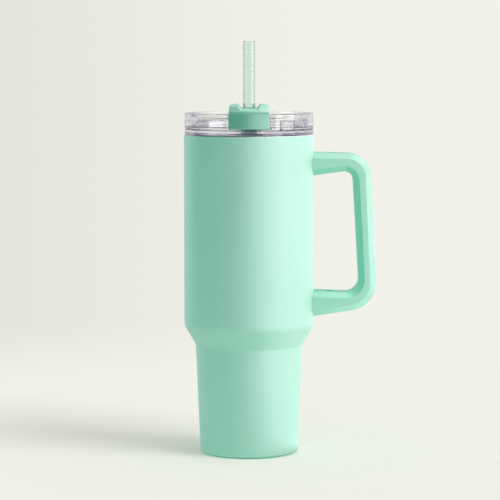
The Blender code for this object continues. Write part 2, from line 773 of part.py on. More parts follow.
def rotating_cover(cover):
    """Clear cover: ring wall, gutter and raised middle, with a gap for the bar and a walled sip slot."""
    profile = rounded([
        (HUB_BORE, DOME_HEIGHT),
        (DOME_RADIUS, DOME_HEIGHT, DOME_ROUND),
        (DOME_RADIUS, GUTTER_FLOOR),
        (RING_INNER_RADIUS, GUTTER_FLOOR),
        (RING_INNER_RADIUS, RING_HEIGHT),
        (LID_RADIUS, RING_HEIGHT, RING_EDGE_ROUND),
        (LID_RADIUS, 0, LID_EDGE_ROUND),
        (DOME_RADIUS - DOME_WALL, 0),
        (DOME_RADIUS - DOME_WALL, DOME_HEIGHT - DOME_WALL, DOME_ROUND - DOME_WALL),
        (HUB_BORE, DOME_HEIGHT - DOME_WALL),
    ])
    piece = add("rotating_cover", turned(profile, BODY_SEGMENTS), cover, CLEAR_PLASTIC)
    slot = (PORT_POSITION, 0)
    chimney = prism(port_outline(slot, True, CHIMNEY_WALL), 0, DOME_HEIGHT - DOME_WALL / 2)
    combine(piece, "UNION", "sip_chimney", chimney)
    opening = prism(port_outline(slot, True), -CUT_MARGIN, DOME_HEIGHT + CUT_MARGIN)
    combine(piece, "DIFFERENCE", "sip_slot", opening)
    half = BAR_WIDTH / 2 + SEAT_GAP
    low = (-half, -LID_RADIUS - CUT_MARGIN, -CUT_MARGIN)
    high = (half, SEAT_GAP - BLOCK_BACK, RING_HEIGHT + CUT_MARGIN)
    combine(piece, "DIFFERENCE", "bar_gap", box(low, high))


def thumb_bar(cover):
    """Mint bar: a block in the ring's gap, a beam over the raised middle, and a stem through the plate."""
    piece = add("thumb_bar", prism(bar_plan(0), BLOCK_LIFT, BAR_HEIGHT), cover, BAR_PLASTIC)
    reach = LID_RADIUS + CUT_MARGIN
    underside = box((-reach, -BLOCK_BACK, -CUT_MARGIN), (reach, reach, DOME_HEIGHT + SEAT_GAP))
    combine(piece, "DIFFERENCE", "beam_underside", underside)
    middle = (BAR_HEIGHT + DOME_HEIGHT) / 2
    platform = prism(bar_plan(PLATFORM_INSET), middle, PLATFORM_TOP)
    combine(piece, "UNION", "saddle_platform", platform)
    stem = turned([
        (0, BARB_TOP - BARB_HEIGHT),
        (STEM_RADIUS, BARB_TOP - BARB_HEIGHT),
        (STEM_RADIUS + BARB_STEP, BARB_TOP),
        (STEM_RADIUS, BARB_TOP),
        (STEM_RADIUS, middle),
        (0, middle),
    ], HUB_SEGMENTS)
    combine(piece, "UNION", "bar_stem", stem)
    bore = disc(STEM_BORE, BARB_TOP - CUT_MARGIN, PLATFORM_TOP + CUT_MARGIN, HUB_SEGMENTS)
    combine(piece, "DIFFERENCE", "stem_bore", bore)
    flange_radius = BUSH_RADIUS + BUSH_FLANGE + SEAT_GAP
    flange_floor = PLATFORM_TOP - BUSH_FLANGE_THICKNESS - SEAT_GAP
    seat = disc(flange_radius, flange_floor, PLATFORM_TOP + CUT_MARGIN, HUB_SEGMENTS)
    combine(piece, "DIFFERENCE", "bush_seat", seat)
    pocket_plan = port_outline((0, -PORT_POSITION), False, SEAL_MARGIN + SEAT_GAP)
    pocket = prism(pocket_plan, -CUT_MARGIN, BLOCK_LIFT + SEAL_POCKET)
    combine(piece, "DIFFERENCE", "seal_pocket", pocket)

    seal_plan = port_outline((0, -PORT_POSITION), False, SEAL_MARGIN)
    add("port_seal", prism(seal_plan, 0, BLOCK_LIFT + SEAL_POCKET - SEAT_GAP), cover, SEAL_SILICONE)


def straw_saddle(cover):
    """Mint cap on the bar, with an ear at each side of a notch, and a hole for the straw."""
    half = BAR_WIDTH / 2
    floor = NOTCH_FLOOR_WIDTH / 2
    section = [
        (-half, 0),
        (half, 0),
        (half, SADDLE_SHOULDER),
        (EAR_SPREAD, EAR_RISE),
        (floor, NOTCH_FLOOR),
        (-floor, NOTCH_FLOOR),
        (-EAR_SPREAD, EAR_RISE),
        (-half, SADDLE_SHOULDER),
    ]
    reach = LID_RADIUS + CUT_MARGIN
    ends = [[(x, y, SADDLE_BOTTOM + z) for x, z in section] for y in (-reach, reach)]
    piece = add("straw_saddle", lofted(ends), cover, BAR_PLASTIC)
    plan = prism(bar_plan(SADDLE_INSET), 0, SADDLE_BOTTOM + EAR_RISE + CUT_MARGIN)
    combine(piece, "INTERSECT", "saddle_plan", plan)
    hole = disc(STRAW_RADIUS + STRAW_HOLE_GAP, 0, SADDLE_BOTTOM + CUT_MARGIN, STRAW_SEGMENTS)
    combine(piece, "DIFFERENCE", "straw_hole", hole)


def hub_pieces(cover):
    """Washer and nut that hold the stem under the lid plate, and the bush that grips the straw."""
    bore = STEM_RADIUS + SEAT_GAP
    washer = tube(bore, bore + NUT_WALL, WASHER_TOP - WASHER_THICKNESS, WASHER_TOP, HUB_SEGMENTS)
    add("hub_washer", washer, cover, SEAL_SILICONE)
    nut = tube(bore, bore + NUT_WALL, NUT_TOP - NUT_HEIGHT, NUT_TOP, HUB_SEGMENTS)
    add("hub_nut", nut, cover, BAR_PLASTIC)
    flange_bottom = PLATFORM_TOP - BUSH_FLANGE_THICKNESS
    bush = turned([
        (BUSH_BORE, PLATFORM_TOP - BUSH_LENGTH),
        (BUSH_RADIUS, PLATFORM_TOP - BUSH_LENGTH),
        (BUSH_RADIUS, flange_bottom),
        (BUSH_RADIUS + BUSH_FLANGE, flange_bottom),
        (BUSH_RADIUS + BUSH_FLANGE, PLATFORM_TOP),
        (BUSH_BORE, PLATFORM_TOP),
    ], STRAW_SEGMENTS)
    add("straw_bush", bush, cover, SEAL_SILICONE)


def straw(carrier):
    """Straight clear tube."""
    shape = tube(STRAW_RADIUS - STRAW_WALL, STRAW_RADIUS, 0, STRAW_LENGTH, STRAW_SEGMENTS)
    add("straw", shape, carrier, STRAW_PLASTIC)


def main():
    """Build every piece of the mug under the empty of its body."""
    clear_scene()
    mug = empty("mug_frame", None, ORIGIN)
    lid = empty("lid_frame", mug, (0, 0, LID_SEAT))
    cover = empty("cover_frame", lid, (0, 0, COVER_SEAT))
    straw_carrier = empty("straw_frame", cover, (0, 0, STRAW_FOOT - LID_SEAT - COVER_SEAT))
    outer_shell(mug)
    inner_liner(mug)
    mug_base(mug)
    handle(mug)
    lid_base(lid)
    rotating_cover(cover)
    thumb_bar(cover)
    straw_saddle(cover)
    hub_pieces(cover)
    straw(straw_carrier)
    bpy.context.view_layer.update()


main()
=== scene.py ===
"""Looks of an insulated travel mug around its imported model: smooth pieces, finishes, studio and camera.

Sizes are metres in the part's own frame: +Z is up, the mug's axis is Z, the handle points along +X and
the thumb bar faces -Y.
"""

import logging
import math
from collections.abc import Callable
from dataclasses import dataclass, replace
from enum import Enum

import bmesh
import bpy
import numpy as np
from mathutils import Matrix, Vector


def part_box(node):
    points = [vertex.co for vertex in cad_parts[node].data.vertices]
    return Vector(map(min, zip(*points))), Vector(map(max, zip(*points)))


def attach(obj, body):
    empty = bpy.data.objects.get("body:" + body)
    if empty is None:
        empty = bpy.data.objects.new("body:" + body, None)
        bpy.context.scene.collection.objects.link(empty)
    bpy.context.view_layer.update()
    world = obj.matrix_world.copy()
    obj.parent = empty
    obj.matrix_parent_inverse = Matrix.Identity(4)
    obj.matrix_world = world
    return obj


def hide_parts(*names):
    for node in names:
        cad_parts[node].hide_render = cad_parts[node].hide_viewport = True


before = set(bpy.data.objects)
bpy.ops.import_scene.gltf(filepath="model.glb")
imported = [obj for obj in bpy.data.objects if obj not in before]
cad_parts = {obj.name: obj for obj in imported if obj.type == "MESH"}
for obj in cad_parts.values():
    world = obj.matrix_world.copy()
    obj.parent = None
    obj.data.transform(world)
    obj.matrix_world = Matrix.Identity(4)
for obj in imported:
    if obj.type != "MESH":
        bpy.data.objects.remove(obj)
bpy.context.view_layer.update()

Array = np.ndarray
Colour = tuple[float, float, float]
Place = tuple[float, float, float]
Span = tuple[float, float]

LOG = logging.getLogger("travel_mug")
GAP = 0.0003
SEGMENTS = 192
FINE_SEGMENTS = 96
ARC_STEPS = 10
BEND_STEPS = 20
WELD = 1e-7
SHARP_ANGLE = math.radians(32)
SUPPORT_MARGIN = 0.0006
SUPPORT_SHORTEST = 0.003
FILLET_SHARE = 0.48
CUT_MARGIN = 0.01
STRAIGHT_SHARES = (0.02, 0.08, 0.5, 0.92, 0.98)
EDGE_POINTS = 7
BAR_FRONT_POINTS = 41
BAR_BACK_POINTS = 49
BAR_CORNER_SKIP = 4
SADDLE_RUN_POINTS = 14
SADDLE_TURN_POINTS = 41
NOISE_MIDDLE = 0.5
FINE_DETAIL = 3.0
FINE_ROUGHNESS = 0.6
DRIFT_DETAIL = 2.0
DRIFT_ROUGHNESS = 0.5
DRIFT_SPAN = (0.3, 0.7)
# Stretch of the clear pieces' wave noise, and the span and floor of its level streaks, which break up the
# painted shade at their grazing edges.
FLOW_STRETCH = (0.3, 0.3, 1.0)
STREAK_SPAN = (0.48, 0.60)
STREAK_LEAST = 0.12
LID_PIECES = ("lid_clear_base", "cover_clear")
STRAW_PIECES = ("drinking_straw",)
CLEAR_PIECES = (*LID_PIECES, *STRAW_PIECES)
HANDLE_PIECES = ("handle_back", "handle_front")


class Cut(Enum):
    """How a helper shape changes a piece."""

    JOIN = "UNION"
    TAKE = "DIFFERENCE"


class Pattern(Enum):
    """Surface pattern that a finish draws with."""

    GRAIN = "moulded_grain"
    SPUN = "spun_lines"
    # Waves of a clear moulding, and level streaks of the same noise that break up its painted edge shade.
    FLOW = "flow_marks"


class Body(Enum):
    """Moving bodies of the part."""

    MUG = "mug"
    LID = "lid"
    COVER = "cover"
    STRAW = "straw"


# Shapes as arrays

def unit(vectors: Array) -> Array:
    """Vectors divided by their lengths."""
    return vectors / np.linalg.norm(vectors, axis=-1, keepdims=True)


def fillet(corners: Array, radii: list[float], steps: int = ARC_STEPS, closed: bool = False) -> Array:
    """Outline through corners, with an arc at each corner that has a radius.

    An arc's centre lies on the corner's bisector at radius / cos(turn / 2), and its points are the first
    spoke swung by equal shares of the turn.

    Args:
        corners: Corner points (..., n, 2); any leading axes are outlines worked out side by side.
        radii: Arc radius of each corner, 0 for a sharp one.
        steps: Number of chords in an arc.
        closed: Whether the last corner runs on to the first.

    Returns:
        Points of the outlines (..., m, 2).
    """
    corners = np.asarray(corners, float)
    count = corners.shape[-2]
    runs = []
    for index, radius in enumerate(radii):
        here = corners[..., index, :]
        if radius == 0 or (not closed and index in (0, count - 1)):
            runs.append(here[..., None, :])
            continue
        back = corners[..., index - 1, :] - here
        ahead = corners[..., (index + 1) % count, :] - here
        to_back, to_ahead = unit(back), unit(ahead)
        turn = np.pi - np.arccos(np.clip((to_back * to_ahead).sum(-1), -1, 1))
        room = FILLET_SHARE * np.minimum(np.linalg.norm(back, axis=-1), np.linalg.norm(ahead, axis=-1))
        reach = np.minimum(radius * np.tan(turn / 2), room)
        depth = reach / np.sin(turn / 2)
        centre = here + unit(to_back + to_ahead) * depth[..., None]
        spoke = here + to_back * reach[..., None] - centre
        side = np.sign(to_back[..., 1] * to_ahead[..., 0] - to_back[..., 0] * to_ahead[..., 1])
        angle = (side * turn)[..., None] * np.linspace(0, 1, steps + 1)
        across = spoke[..., :1] * np.cos(angle) - spoke[..., 1:] * np.sin(angle)
        along = spoke[..., :1] * np.sin(angle) + spoke[..., 1:] * np.cos(angle)
        runs.append(centre[..., None, :] + np.stack([across, along], -1))
    return np.concatenate(runs, axis=-2)


def offset(path: Array, distance: float) -> Array:
    """Open path shifted to its left: each point moves along the mitre of its two runs' left normals.

    Args:
        path: Points (..., n, 2).
        distance: Shift to the left; a negative one is to the right.

    Returns:
        Shifted points of the same shape.
    """
    run = np.diff(path, axis=-2)
    left = unit(np.stack([-run[..., 1], run[..., 0]], -1))
    first = np.concatenate([left[..., :1, :], left], axis=-2)
    second = np.concatenate([left, left[..., -1:, :]], axis=-2)
    mitre = (first + second) / (1 + (first * second).sum(-1, keepdims=True))
    return path + mitre * distance


def supported(path: Array) -> Array:
    """Path with two more points on each long run, a margin inside its ends, so that flats shade flat.

    Args:
        path: Points (n, 2).

    Returns:
        Points with the supports in place.
    """
    start, run = path[:-1], np.diff(path, axis=0)
    length = np.linalg.norm(run, axis=-1)
    step = run / length[:, None] * SUPPORT_MARGIN
    triples = np.stack([start, start + step, start + run - step], axis=1)
    keep = np.ones(triples.shape[:2], bool)
    keep[:, 1:] = (length > SUPPORT_SHORTEST)[:, None]
    return np.vstack([triples[keep], path[-1:]])


def ring_closed(path: Array) -> Array:
    """Closed outline with supports, its first point given once."""
    return supported(np.vstack([path, path[:1]]))[:-1]


def grid_faces(rows: int, columns: int, wrap_rows: bool = False,
               wrap_columns: bool = True) -> list[list[int]]:
    """Quads of a grid of points: (i, j), (i + 1, j), (i + 1, j + 1), (i, j + 1).

    Args:
        rows: Number of rows of points.
        columns: Number of points in a row.
        wrap_rows: Whether the last row joins the first.
        wrap_columns: Whether each row is a ring.

    Returns:
        Vertex numbers of each quad.
    """
    row, column = np.meshgrid(
        np.arange(rows if wrap_rows else rows - 1),
        np.arange(columns if wrap_columns else columns - 1), indexing="ij")
    next_row, next_column = (row + 1) % rows, (column + 1) % columns
    corners = [row * columns + column, next_row * columns + column,
               next_row * columns + next_column, row * columns + next_column]
    return np.stack(corners, -1).reshape(-1, 4).tolist()


@dataclass
class Surface:
    """Points and faces of one closed shape."""

    points: Array
    faces: list[list[int]]

    def moved(self, x: float, y: float, z: float) -> "Surface":
        """The same shape at another place."""
        return Surface(self.points.reshape(-1, 3) + np.array([x, y, z]), self.faces)

    def piece(self, name: str) -> bpy.types.Object:
        """Object with this shape, its seams and poles welded and its faces turned outwards.

        Args:
            name: Name of the object and its mesh.

        Returns:
            The new object at the origin.
        """
        mesh = bpy.data.meshes.new(name)
        mesh.from_pydata(self.points.reshape(-1, 3).tolist(), [], self.faces)
        shape = bmesh.new()
        shape.from_mesh(mesh)
        bmesh.ops.remove_doubles(shape, verts=shape.verts, dist=WELD)
        bmesh.ops.recalc_face_normals(shape, faces=shape.faces)
        shape.to_mesh(mesh)
        shape.free()
        smooth(mesh)
        made = bpy.data.objects.new(name, mesh)
        bpy.context.scene.collection.objects.link(made)
        return made


def smooth(mesh: bpy.types.Mesh) -> None:
    """Smooth shading with hard creases kept."""
    mesh.shade_smooth()
    mesh.set_sharp_from_angle(angle=SHARP_ANGLE)


def lathe(profile: Array, closed: bool = True, segments: int = SEGMENTS) -> Surface:
    """Profile turned about Z: point (r, z) at turn t is (r cos t, r sin t, z).

    Args:
        profile: Points (n, 2) of radius and height.
        closed: Whether the profile is a loop; an open one starts and ends on the axis.
        segments: Number of steps in the turn.

    Returns:
        The turned shape.
    """
    turn = np.linspace(0, 2 * np.pi, segments, endpoint=False)
    radius, height = profile[:, :1], profile[:, 1:]
    points = np.stack(np.broadcast_arrays(radius * np.cos(turn), radius * np.sin(turn), height), -1)
    return Surface(points, grid_faces(len(profile), segments, wrap_rows=closed))


def stacked(outlines: Array) -> Surface:
    """Rings of equal count joined one to the next, with both ends filled.

    Args:
        outlines: Points (levels, n, 3).

    Returns:
        The closed shape.
    """
    levels, count = outlines.shape[:2]
    ends = np.arange(levels * count).reshape(levels, count)
    return Surface(outlines, grid_faces(levels, count) + [ends[0, ::-1].tolist(), ends[-1].tolist()])


def upright(outline: Array, heights: list[float]) -> Surface:
    """Plan outline carried straight up through the given heights."""
    levels = [np.column_stack([outline, np.full(len(outline), height)]) for height in heights]
    return stacked(np.stack(levels))


def block(low: Place, high: Place) -> Surface:
    """Box between two corners, used for cuts."""
    plan = np.array([(low[0], low[1]), (high[0], low[1]), (high[0], high[1]), (low[0], high[1])])
    return upright(plan, [low[2], high[2]])


def rod(radius: float, bottom: float, top: float) -> Surface:
    """Round rod about Z, used for cuts."""
    profile = np.array([(0, bottom), (radius, bottom), (radius, top), (0, top)])
    return lathe(profile, closed=False, segments=FINE_SEGMENTS)


def sleeve(bore: float, radius: float, bottom: float, top: float, edge: float) -> Surface:
    """Round tube with softened edges: a rounded rectangle turned about Z.

    Args:
        bore: Inner radius.
        radius: Outer radius.
        bottom: Lower height.
        top: Upper height.
        edge: Radius of its four edges.

    Returns:
        The turned shape.
    """
    corners = [(bore, bottom), (radius, bottom), (radius, top), (bore, top)]
    return lathe(ring_closed(fillet(corners, [edge] * 4, closed=True)), segments=FINE_SEGMENTS)


def carve(piece: bpy.types.Object, how: Cut, helper: Surface) -> None:
    """Joins a helper shape to a piece or takes it away, and settles the result in the piece's mesh.

    Args:
        piece: Object to change.
        how: Join or take away.
        helper: Closed shape, gone afterwards.
    """
    tool = helper.piece("helper")
    modifier = piece.modifiers.new("carve", "BOOLEAN")
    modifier.operation = how.value
    modifier.solver = "EXACT"
    modifier.object = tool
    bpy.context.view_layer.update()
    graph = bpy.context.evaluated_depsgraph_get()
    carved = bpy.data.meshes.new_from_object(piece.evaluated_get(graph))
    piece.modifiers.clear()
    spare = [piece.data, tool.data]
    piece.data = carved
    bpy.data.objects.remove(tool)
    for mesh in spare:
        bpy.data.meshes.remove(mesh)
    carved.name = piece.name
    smooth(carved)


# Finishes

class Tree:
    """Short way to add and link nodes in one node tree."""

    def __init__(self, nodes: bpy.types.NodeTree) -> None:
        """Keeps the tree.

        Args:
            nodes: Node tree of a material, a group or the world.
        """
        self.tree = nodes

    def add(self, kind: str, **settings: object) -> bpy.types.Node:
        """New node with its properties set.

        Args:
            kind: Type name of the node.
            **settings: Property values.

        Returns:
            The node.
        """
        node = self.tree.nodes.new(kind)
        for key, value in settings.items():
            setattr(node, key, value)
        return node

    def feed(self, node: bpy.types.Node, **sockets: object) -> bpy.types.Node:
        """Sets or links inputs, named in lower case with underscores, or as in_0 by number.

        Args:
            node: Node whose inputs are set.
            **sockets: A value, or an output socket to link.

        Returns:
            The same node.
        """
        for key, value in sockets.items():
            wanted = key.replace("_", " ").title()
            socket = node.inputs[int(key[3:])] if key.startswith("in_") else node.inputs[wanted]
            if isinstance(value, bpy.types.NodeSocket):
                self.tree.links.new(value, socket)
            else:
                socket.default_value = value
        return node

    def math(self, operation: str, first: object, second: object) -> bpy.types.NodeSocket:
        """Output of a math node with two inputs."""
        node = self.add("ShaderNodeMath", operation=operation)
        return self.feed(node, in_0=first, in_1=second).outputs[0]

    def ramp(self, value: object, span: Span, least: float = 0.0) -> bpy.types.NodeSocket:
        """Smooth step of a value, from least at the span's start to 1 at its end."""
        node = self.add("ShaderNodeMapRange", interpolation_type="SMOOTHSTEP")
        return self.feed(node, value=value, from_min=span[0], from_max=span[1], to_min=least).outputs[0]

    def noise(self, place: object, scale: object, detail: float,
              roughness: float) -> bpy.types.NodeSocket:
        """Value of a noise at a place."""
        node = self.add("ShaderNodeTexNoise")
        return self.feed(node, vector=place, scale=scale, detail=detail, roughness=roughness).outputs[0]

    def mix(self, share: object, first: object, second: object) -> bpy.types.NodeSocket:
        """Colour between two colours, the second one at a share of 1."""
        node = self.add("ShaderNodeMix", data_type="RGBA")
        return self.feed(node, in_0=share, in_6=first, in_7=second).outputs[2]

    def blend(self, share: object, first: object, second: object) -> bpy.types.NodeSocket:
        """Shader between two shaders, the second one at a share of 1."""
        node = self.add("ShaderNodeMixShader")
        return self.feed(node, in_0=share, in_1=first, in_2=second).outputs[0]


def pattern_group(pattern: Pattern) -> bpy.types.NodeTree:
    """Node group of a surface pattern, made at its first use.

    Grain is a fine noise for the tooth of a coat or moulding; spun lines are the same noise drawn out
    round the axis, and waves and shade streaks are the same noise drawn out level: the waves of a clear
    moulding, and level streaks that break up the painted shade at its grazing edges. A second, broad
    noise lets tone and gloss drift over the piece.

    Args:
        pattern: Which pattern the fine noise draws.

    Returns:
        The group, with inputs Colour, Scale, Tone, Drift Scale, Drift Tone, Rough Low and Rough High,
        and outputs Colour, Roughness, Height and Streak, the last a level mask for painted shade.
    """
    found = bpy.data.node_groups.get(pattern.value)
    if found:
        return found
    group = bpy.data.node_groups.new(pattern.value, "ShaderNodeTree")
    inputs = ("Scale", "Tone", "Drift Scale", "Drift Tone", "Rough Low", "Rough High")
    for way, names in (("INPUT", inputs), ("OUTPUT", ("Roughness", "Height", "Streak"))):
        group.interface.new_socket("Colour", in_out=way, socket_type="NodeSocketColor")
        for name in names:
            group.interface.new_socket(name, in_out=way, socket_type="NodeSocketFloat")
    tree = Tree(group)
    given = tree.add("NodeGroupInput").outputs
    place = tree.add("ShaderNodeTexCoord").outputs["Object"]
    fine_place = place
    if pattern is Pattern.SPUN:
        split = tree.feed(tree.add("ShaderNodeSeparateXYZ"), in_0=place).outputs
        squares = [tree.math("MULTIPLY", axis, axis) for axis in (split[0], split[1])]
        radius = tree.math("POWER", tree.math("ADD", *squares), 0.5)
        fine_place = tree.feed(tree.add("ShaderNodeCombineXYZ"), in_0=radius, in_2=split[2]).outputs[0]
    elif pattern is Pattern.FLOW:
        fine_place = tree.feed(tree.add("ShaderNodeVectorMath", operation="MULTIPLY"), in_0=place,
                               in_1=FLOW_STRETCH).outputs[0]
    fine = tree.noise(fine_place, given["Scale"], FINE_DETAIL, FINE_ROUGHNESS)
    drift = tree.noise(place, given["Drift Scale"], DRIFT_DETAIL, DRIFT_ROUGHNESS)
    fine_tone = tree.math("MULTIPLY", tree.math("SUBTRACT", fine, NOISE_MIDDLE), given["Tone"])
    drift_tone = tree.math("MULTIPLY", tree.math("SUBTRACT", drift, NOISE_MIDDLE), given["Drift Tone"])
    tone = tree.math("ADD", tree.math("ADD", fine_tone, drift_tone), 1.0)
    colour = tree.feed(tree.add("ShaderNodeVectorMath", operation="SCALE"),
                       in_0=given["Colour"], scale=tone)
    rough = tree.feed(tree.add("ShaderNodeMapRange"), value=drift, from_min=DRIFT_SPAN[0],
                      from_max=DRIFT_SPAN[1], to_min=given["Rough Low"], to_max=given["Rough High"])
    # Streak: level bands of the fine noise, the share of painted shade on a clear finish.
    tree.feed(tree.add("NodeGroupOutput"), colour=colour.outputs[0], roughness=rough.outputs[0],
              height=fine, streak=tree.ramp(fine, STREAK_SPAN, STREAK_LEAST))
    return group


@dataclass(frozen=True)
class Finish:
    """Material of one record slot, with a pattern's colour, gloss and tooth at its own scale."""

    slot: str
    colour: Colour
    rough: Span
    pattern: Pattern = Pattern.GRAIN
    scale: float = 2500.0
    tone: float = 0.05
    drift_scale: float = 25.0
    drift_tone: float = 0.04
    tooth: float = 0.00002
    tooth_strength: float = 0.3
    metallic: float = 0.0
    transmission: float = 0.0
    ior: float = 1.5
    specular: float = 0.5
    sheen: float = 0.0
    sheen_rough: float = 0.5
    coat: float = 0.0
    coat_rough: float = 0.3
    subsurface: float = 0.0
    subsurface_scale: float = 0.002
    variant: str = ""
    # Painted shade: a colour mixed into the base colour towards grazing view, over the facing span of
    # shade_reach; it stands for the dark refracted edges of clear pieces.
    shade: Colour | None = None
    shade_reach: Span = (0.3, 0.65)

    def material(self) -> bpy.types.Material:
        """Material of this finish, made at its first use.

        Returns:
            The node material named after the slot.
        """
        name = "look_" + self.slot + self.variant
        found = bpy.data.materials.get(name)
        if found:
            return found
        made = bpy.data.materials.new(name)
        made.use_nodes = True
        tree = Tree(made.node_tree)
        shader = made.node_tree.nodes["Principled BSDF"]
        group = tree.add("ShaderNodeGroup", node_tree=pattern_group(self.pattern))
        tree.feed(group, colour=(*self.colour, 1.0), scale=self.scale, tone=self.tone,
                  drift_scale=self.drift_scale, drift_tone=self.drift_tone,
                  rough_low=self.rough[0], rough_high=self.rough[1])
        colour = group.outputs["Colour"]
        # Painted shade towards grazing view; on the waves-and-streaks pattern it is broken into level
        # streaks.
        if self.shade:
            rim = tree.ramp(tree.add("ShaderNodeLayerWeight").outputs["Facing"], self.shade_reach)
            if self.pattern is Pattern.FLOW:
                rim = tree.math("MULTIPLY", rim, group.outputs["Streak"])
            colour = tree.mix(rim, colour, (*self.shade, 1.0))
        tree.feed(shader, base_color=colour, roughness=group.outputs["Roughness"])
        if self.tooth:
            bump = tree.feed(tree.add("ShaderNodeBump"), height=group.outputs["Height"],
                             strength=self.tooth_strength, distance=self.tooth)
            tree.feed(shader, normal=bump.outputs[0])
        plain = {
            "Metallic": self.metallic, "Transmission Weight": self.transmission, "IOR": self.ior,
            "Specular IOR Level": self.specular, "Sheen Weight": self.sheen,
            "Sheen Roughness": self.sheen_rough, "Coat Weight": self.coat,
            "Coat Roughness": self.coat_rough, "Subsurface Weight": self.subsurface,
            "Subsurface Scale": self.subsurface_scale,
        }
        for socket, value in plain.items():
            shader.inputs[socket].default_value = value
        return made


POWDER_COAT = Finish(
    "powder_coat", (0.17, 0.67, 0.487), (0.53, 0.59), scale=3200.0, tone=0.06, tooth=0.00003, ior=2.0,
    specular=1.0, sheen=0.12)
HANDLE_PLASTIC = Finish(
    "handle_plastic", (0.155, 0.68, 0.475), (0.51, 0.57), scale=2600.0, ior=2.0, specular=0.9,
    sheen=0.08)
# Inner cover: a darker, duller copy of the handle plastic; the darker colour is painted shade where the
# cover faces the mug.
HANDLE_INNER_SHADED = replace(
    HANDLE_PLASTIC, colour=(0.145, 0.645, 0.445), ior=1.75, sheen=0.04, variant="_inner")
BAR_PLASTIC = Finish(
    "bar_plastic", (0.068, 0.455, 0.32), (0.34, 0.40), scale=2600.0, ior=1.7, specular=1.0)
SADDLE_PLASTIC = replace(
    BAR_PLASTIC, colour=(0.17, 0.69, 0.50), rough=(0.48, 0.54), ior=2.0, variant="_saddle")
BARE_STEEL = Finish(
    "bare_steel", (0.72, 0.72, 0.725), (0.40, 0.50), pattern=Pattern.SPUN, scale=1800.0, tone=0.12,
    metallic=1.0)
INSERT_BRASS = Finish(
    "insert_brass", (0.72, 0.50, 0.20), (0.28, 0.38), pattern=Pattern.SPUN, scale=1500.0, tone=0.12,
    metallic=1.0)
# Clear plastic: its shade colour is painted shade, mixed in towards grazing view and broken into level
# streaks, standing for the dark refractions at its edges.
CLEAR_PLASTIC = Finish(
    "clear_plastic", (0.955, 0.953, 0.975), (0.02, 0.05), pattern=Pattern.FLOW, scale=430.0, tone=0.0,
    drift_tone=0.01, tooth=0.0001, tooth_strength=0.08, transmission=1.0, ior=1.49,
    shade=(0.36, 0.32, 0.56), shade_reach=(0.30, 0.58))
# Lid base: a darker copy of the clear plastic, painted shade for what is seen through the band, with the
# painted edge shade reaching over most of its face.
CLEAR_SHADED_BAND = replace(
    CLEAR_PLASTIC, colour=(0.87, 0.865, 0.96), shade=(0.40, 0.37, 0.62), shade_reach=(0.01, 0.30),
    variant="_band")
# Painted shade: a dark clear plastic on the ring's rounded top edge, standing for the dark line that
# refraction draws there.
CLEAR_EDGE_SHADE = replace(
    CLEAR_PLASTIC, colour=(0.42, 0.40, 0.42), rough=(0.05, 0.08), tooth=0.0, shade=None, variant="_edge")
# Straw: its shade colour is painted shade towards grazing view, standing for the dark edges of a clear
# tube.
STRAW_PLASTIC = Finish(
    "straw_plastic", (0.88, 0.985, 0.955), (0.10, 0.12), scale=400.0, tone=0.0, drift_tone=0.02,
    tooth=0.0, transmission=1.0, ior=1.49, coat=1.0, shade=(0.62, 0.76, 0.69), shade_reach=(0.25, 0.6))
SEAL_SILICONE = Finish(
    "seal_silicone", (0.78, 0.82, 0.81), (0.45, 0.55), scale=2200.0, subsurface=0.3)
PAD_SILICONE = Finish("pad_silicone", (0.12, 0.27, 0.21), (0.65, 0.8), scale=2200.0, tone=0.1)


def dress(piece: bpy.types.Object, nodes: str | tuple[str, ...], body: Body, finish: Finish) -> None:
    """Gives a new piece its finish, and puts it in its solid's place on a body.

    Args:
        piece: New object.
        nodes: Name of the solid that it stands for, or names where it stands for several.
        body: Body that it moves with.
        finish: Finish of its record slot.
    """
    piece.data.materials.clear()
    piece.data.materials.append(finish.material())
    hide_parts(*((nodes,) if isinstance(nodes, str) else nodes))
    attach(piece, body.value)
    LOG.info("%s: %d faces on %s", piece.name, len(piece.data.polygons), body.value)


def coat_solids(nodes: list[str], finish: Finish) -> None:
    """Gives solids that stay in the scene a finish.

    Args:
        nodes: Names of the solids.
        finish: Finish of their record slot.
    """
    for node in nodes:
        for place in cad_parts[node].material_slots:
            place.material = finish.material()
        LOG.info("%s: solid kept, %s", node, finish.slot)


# Sub-assemblies

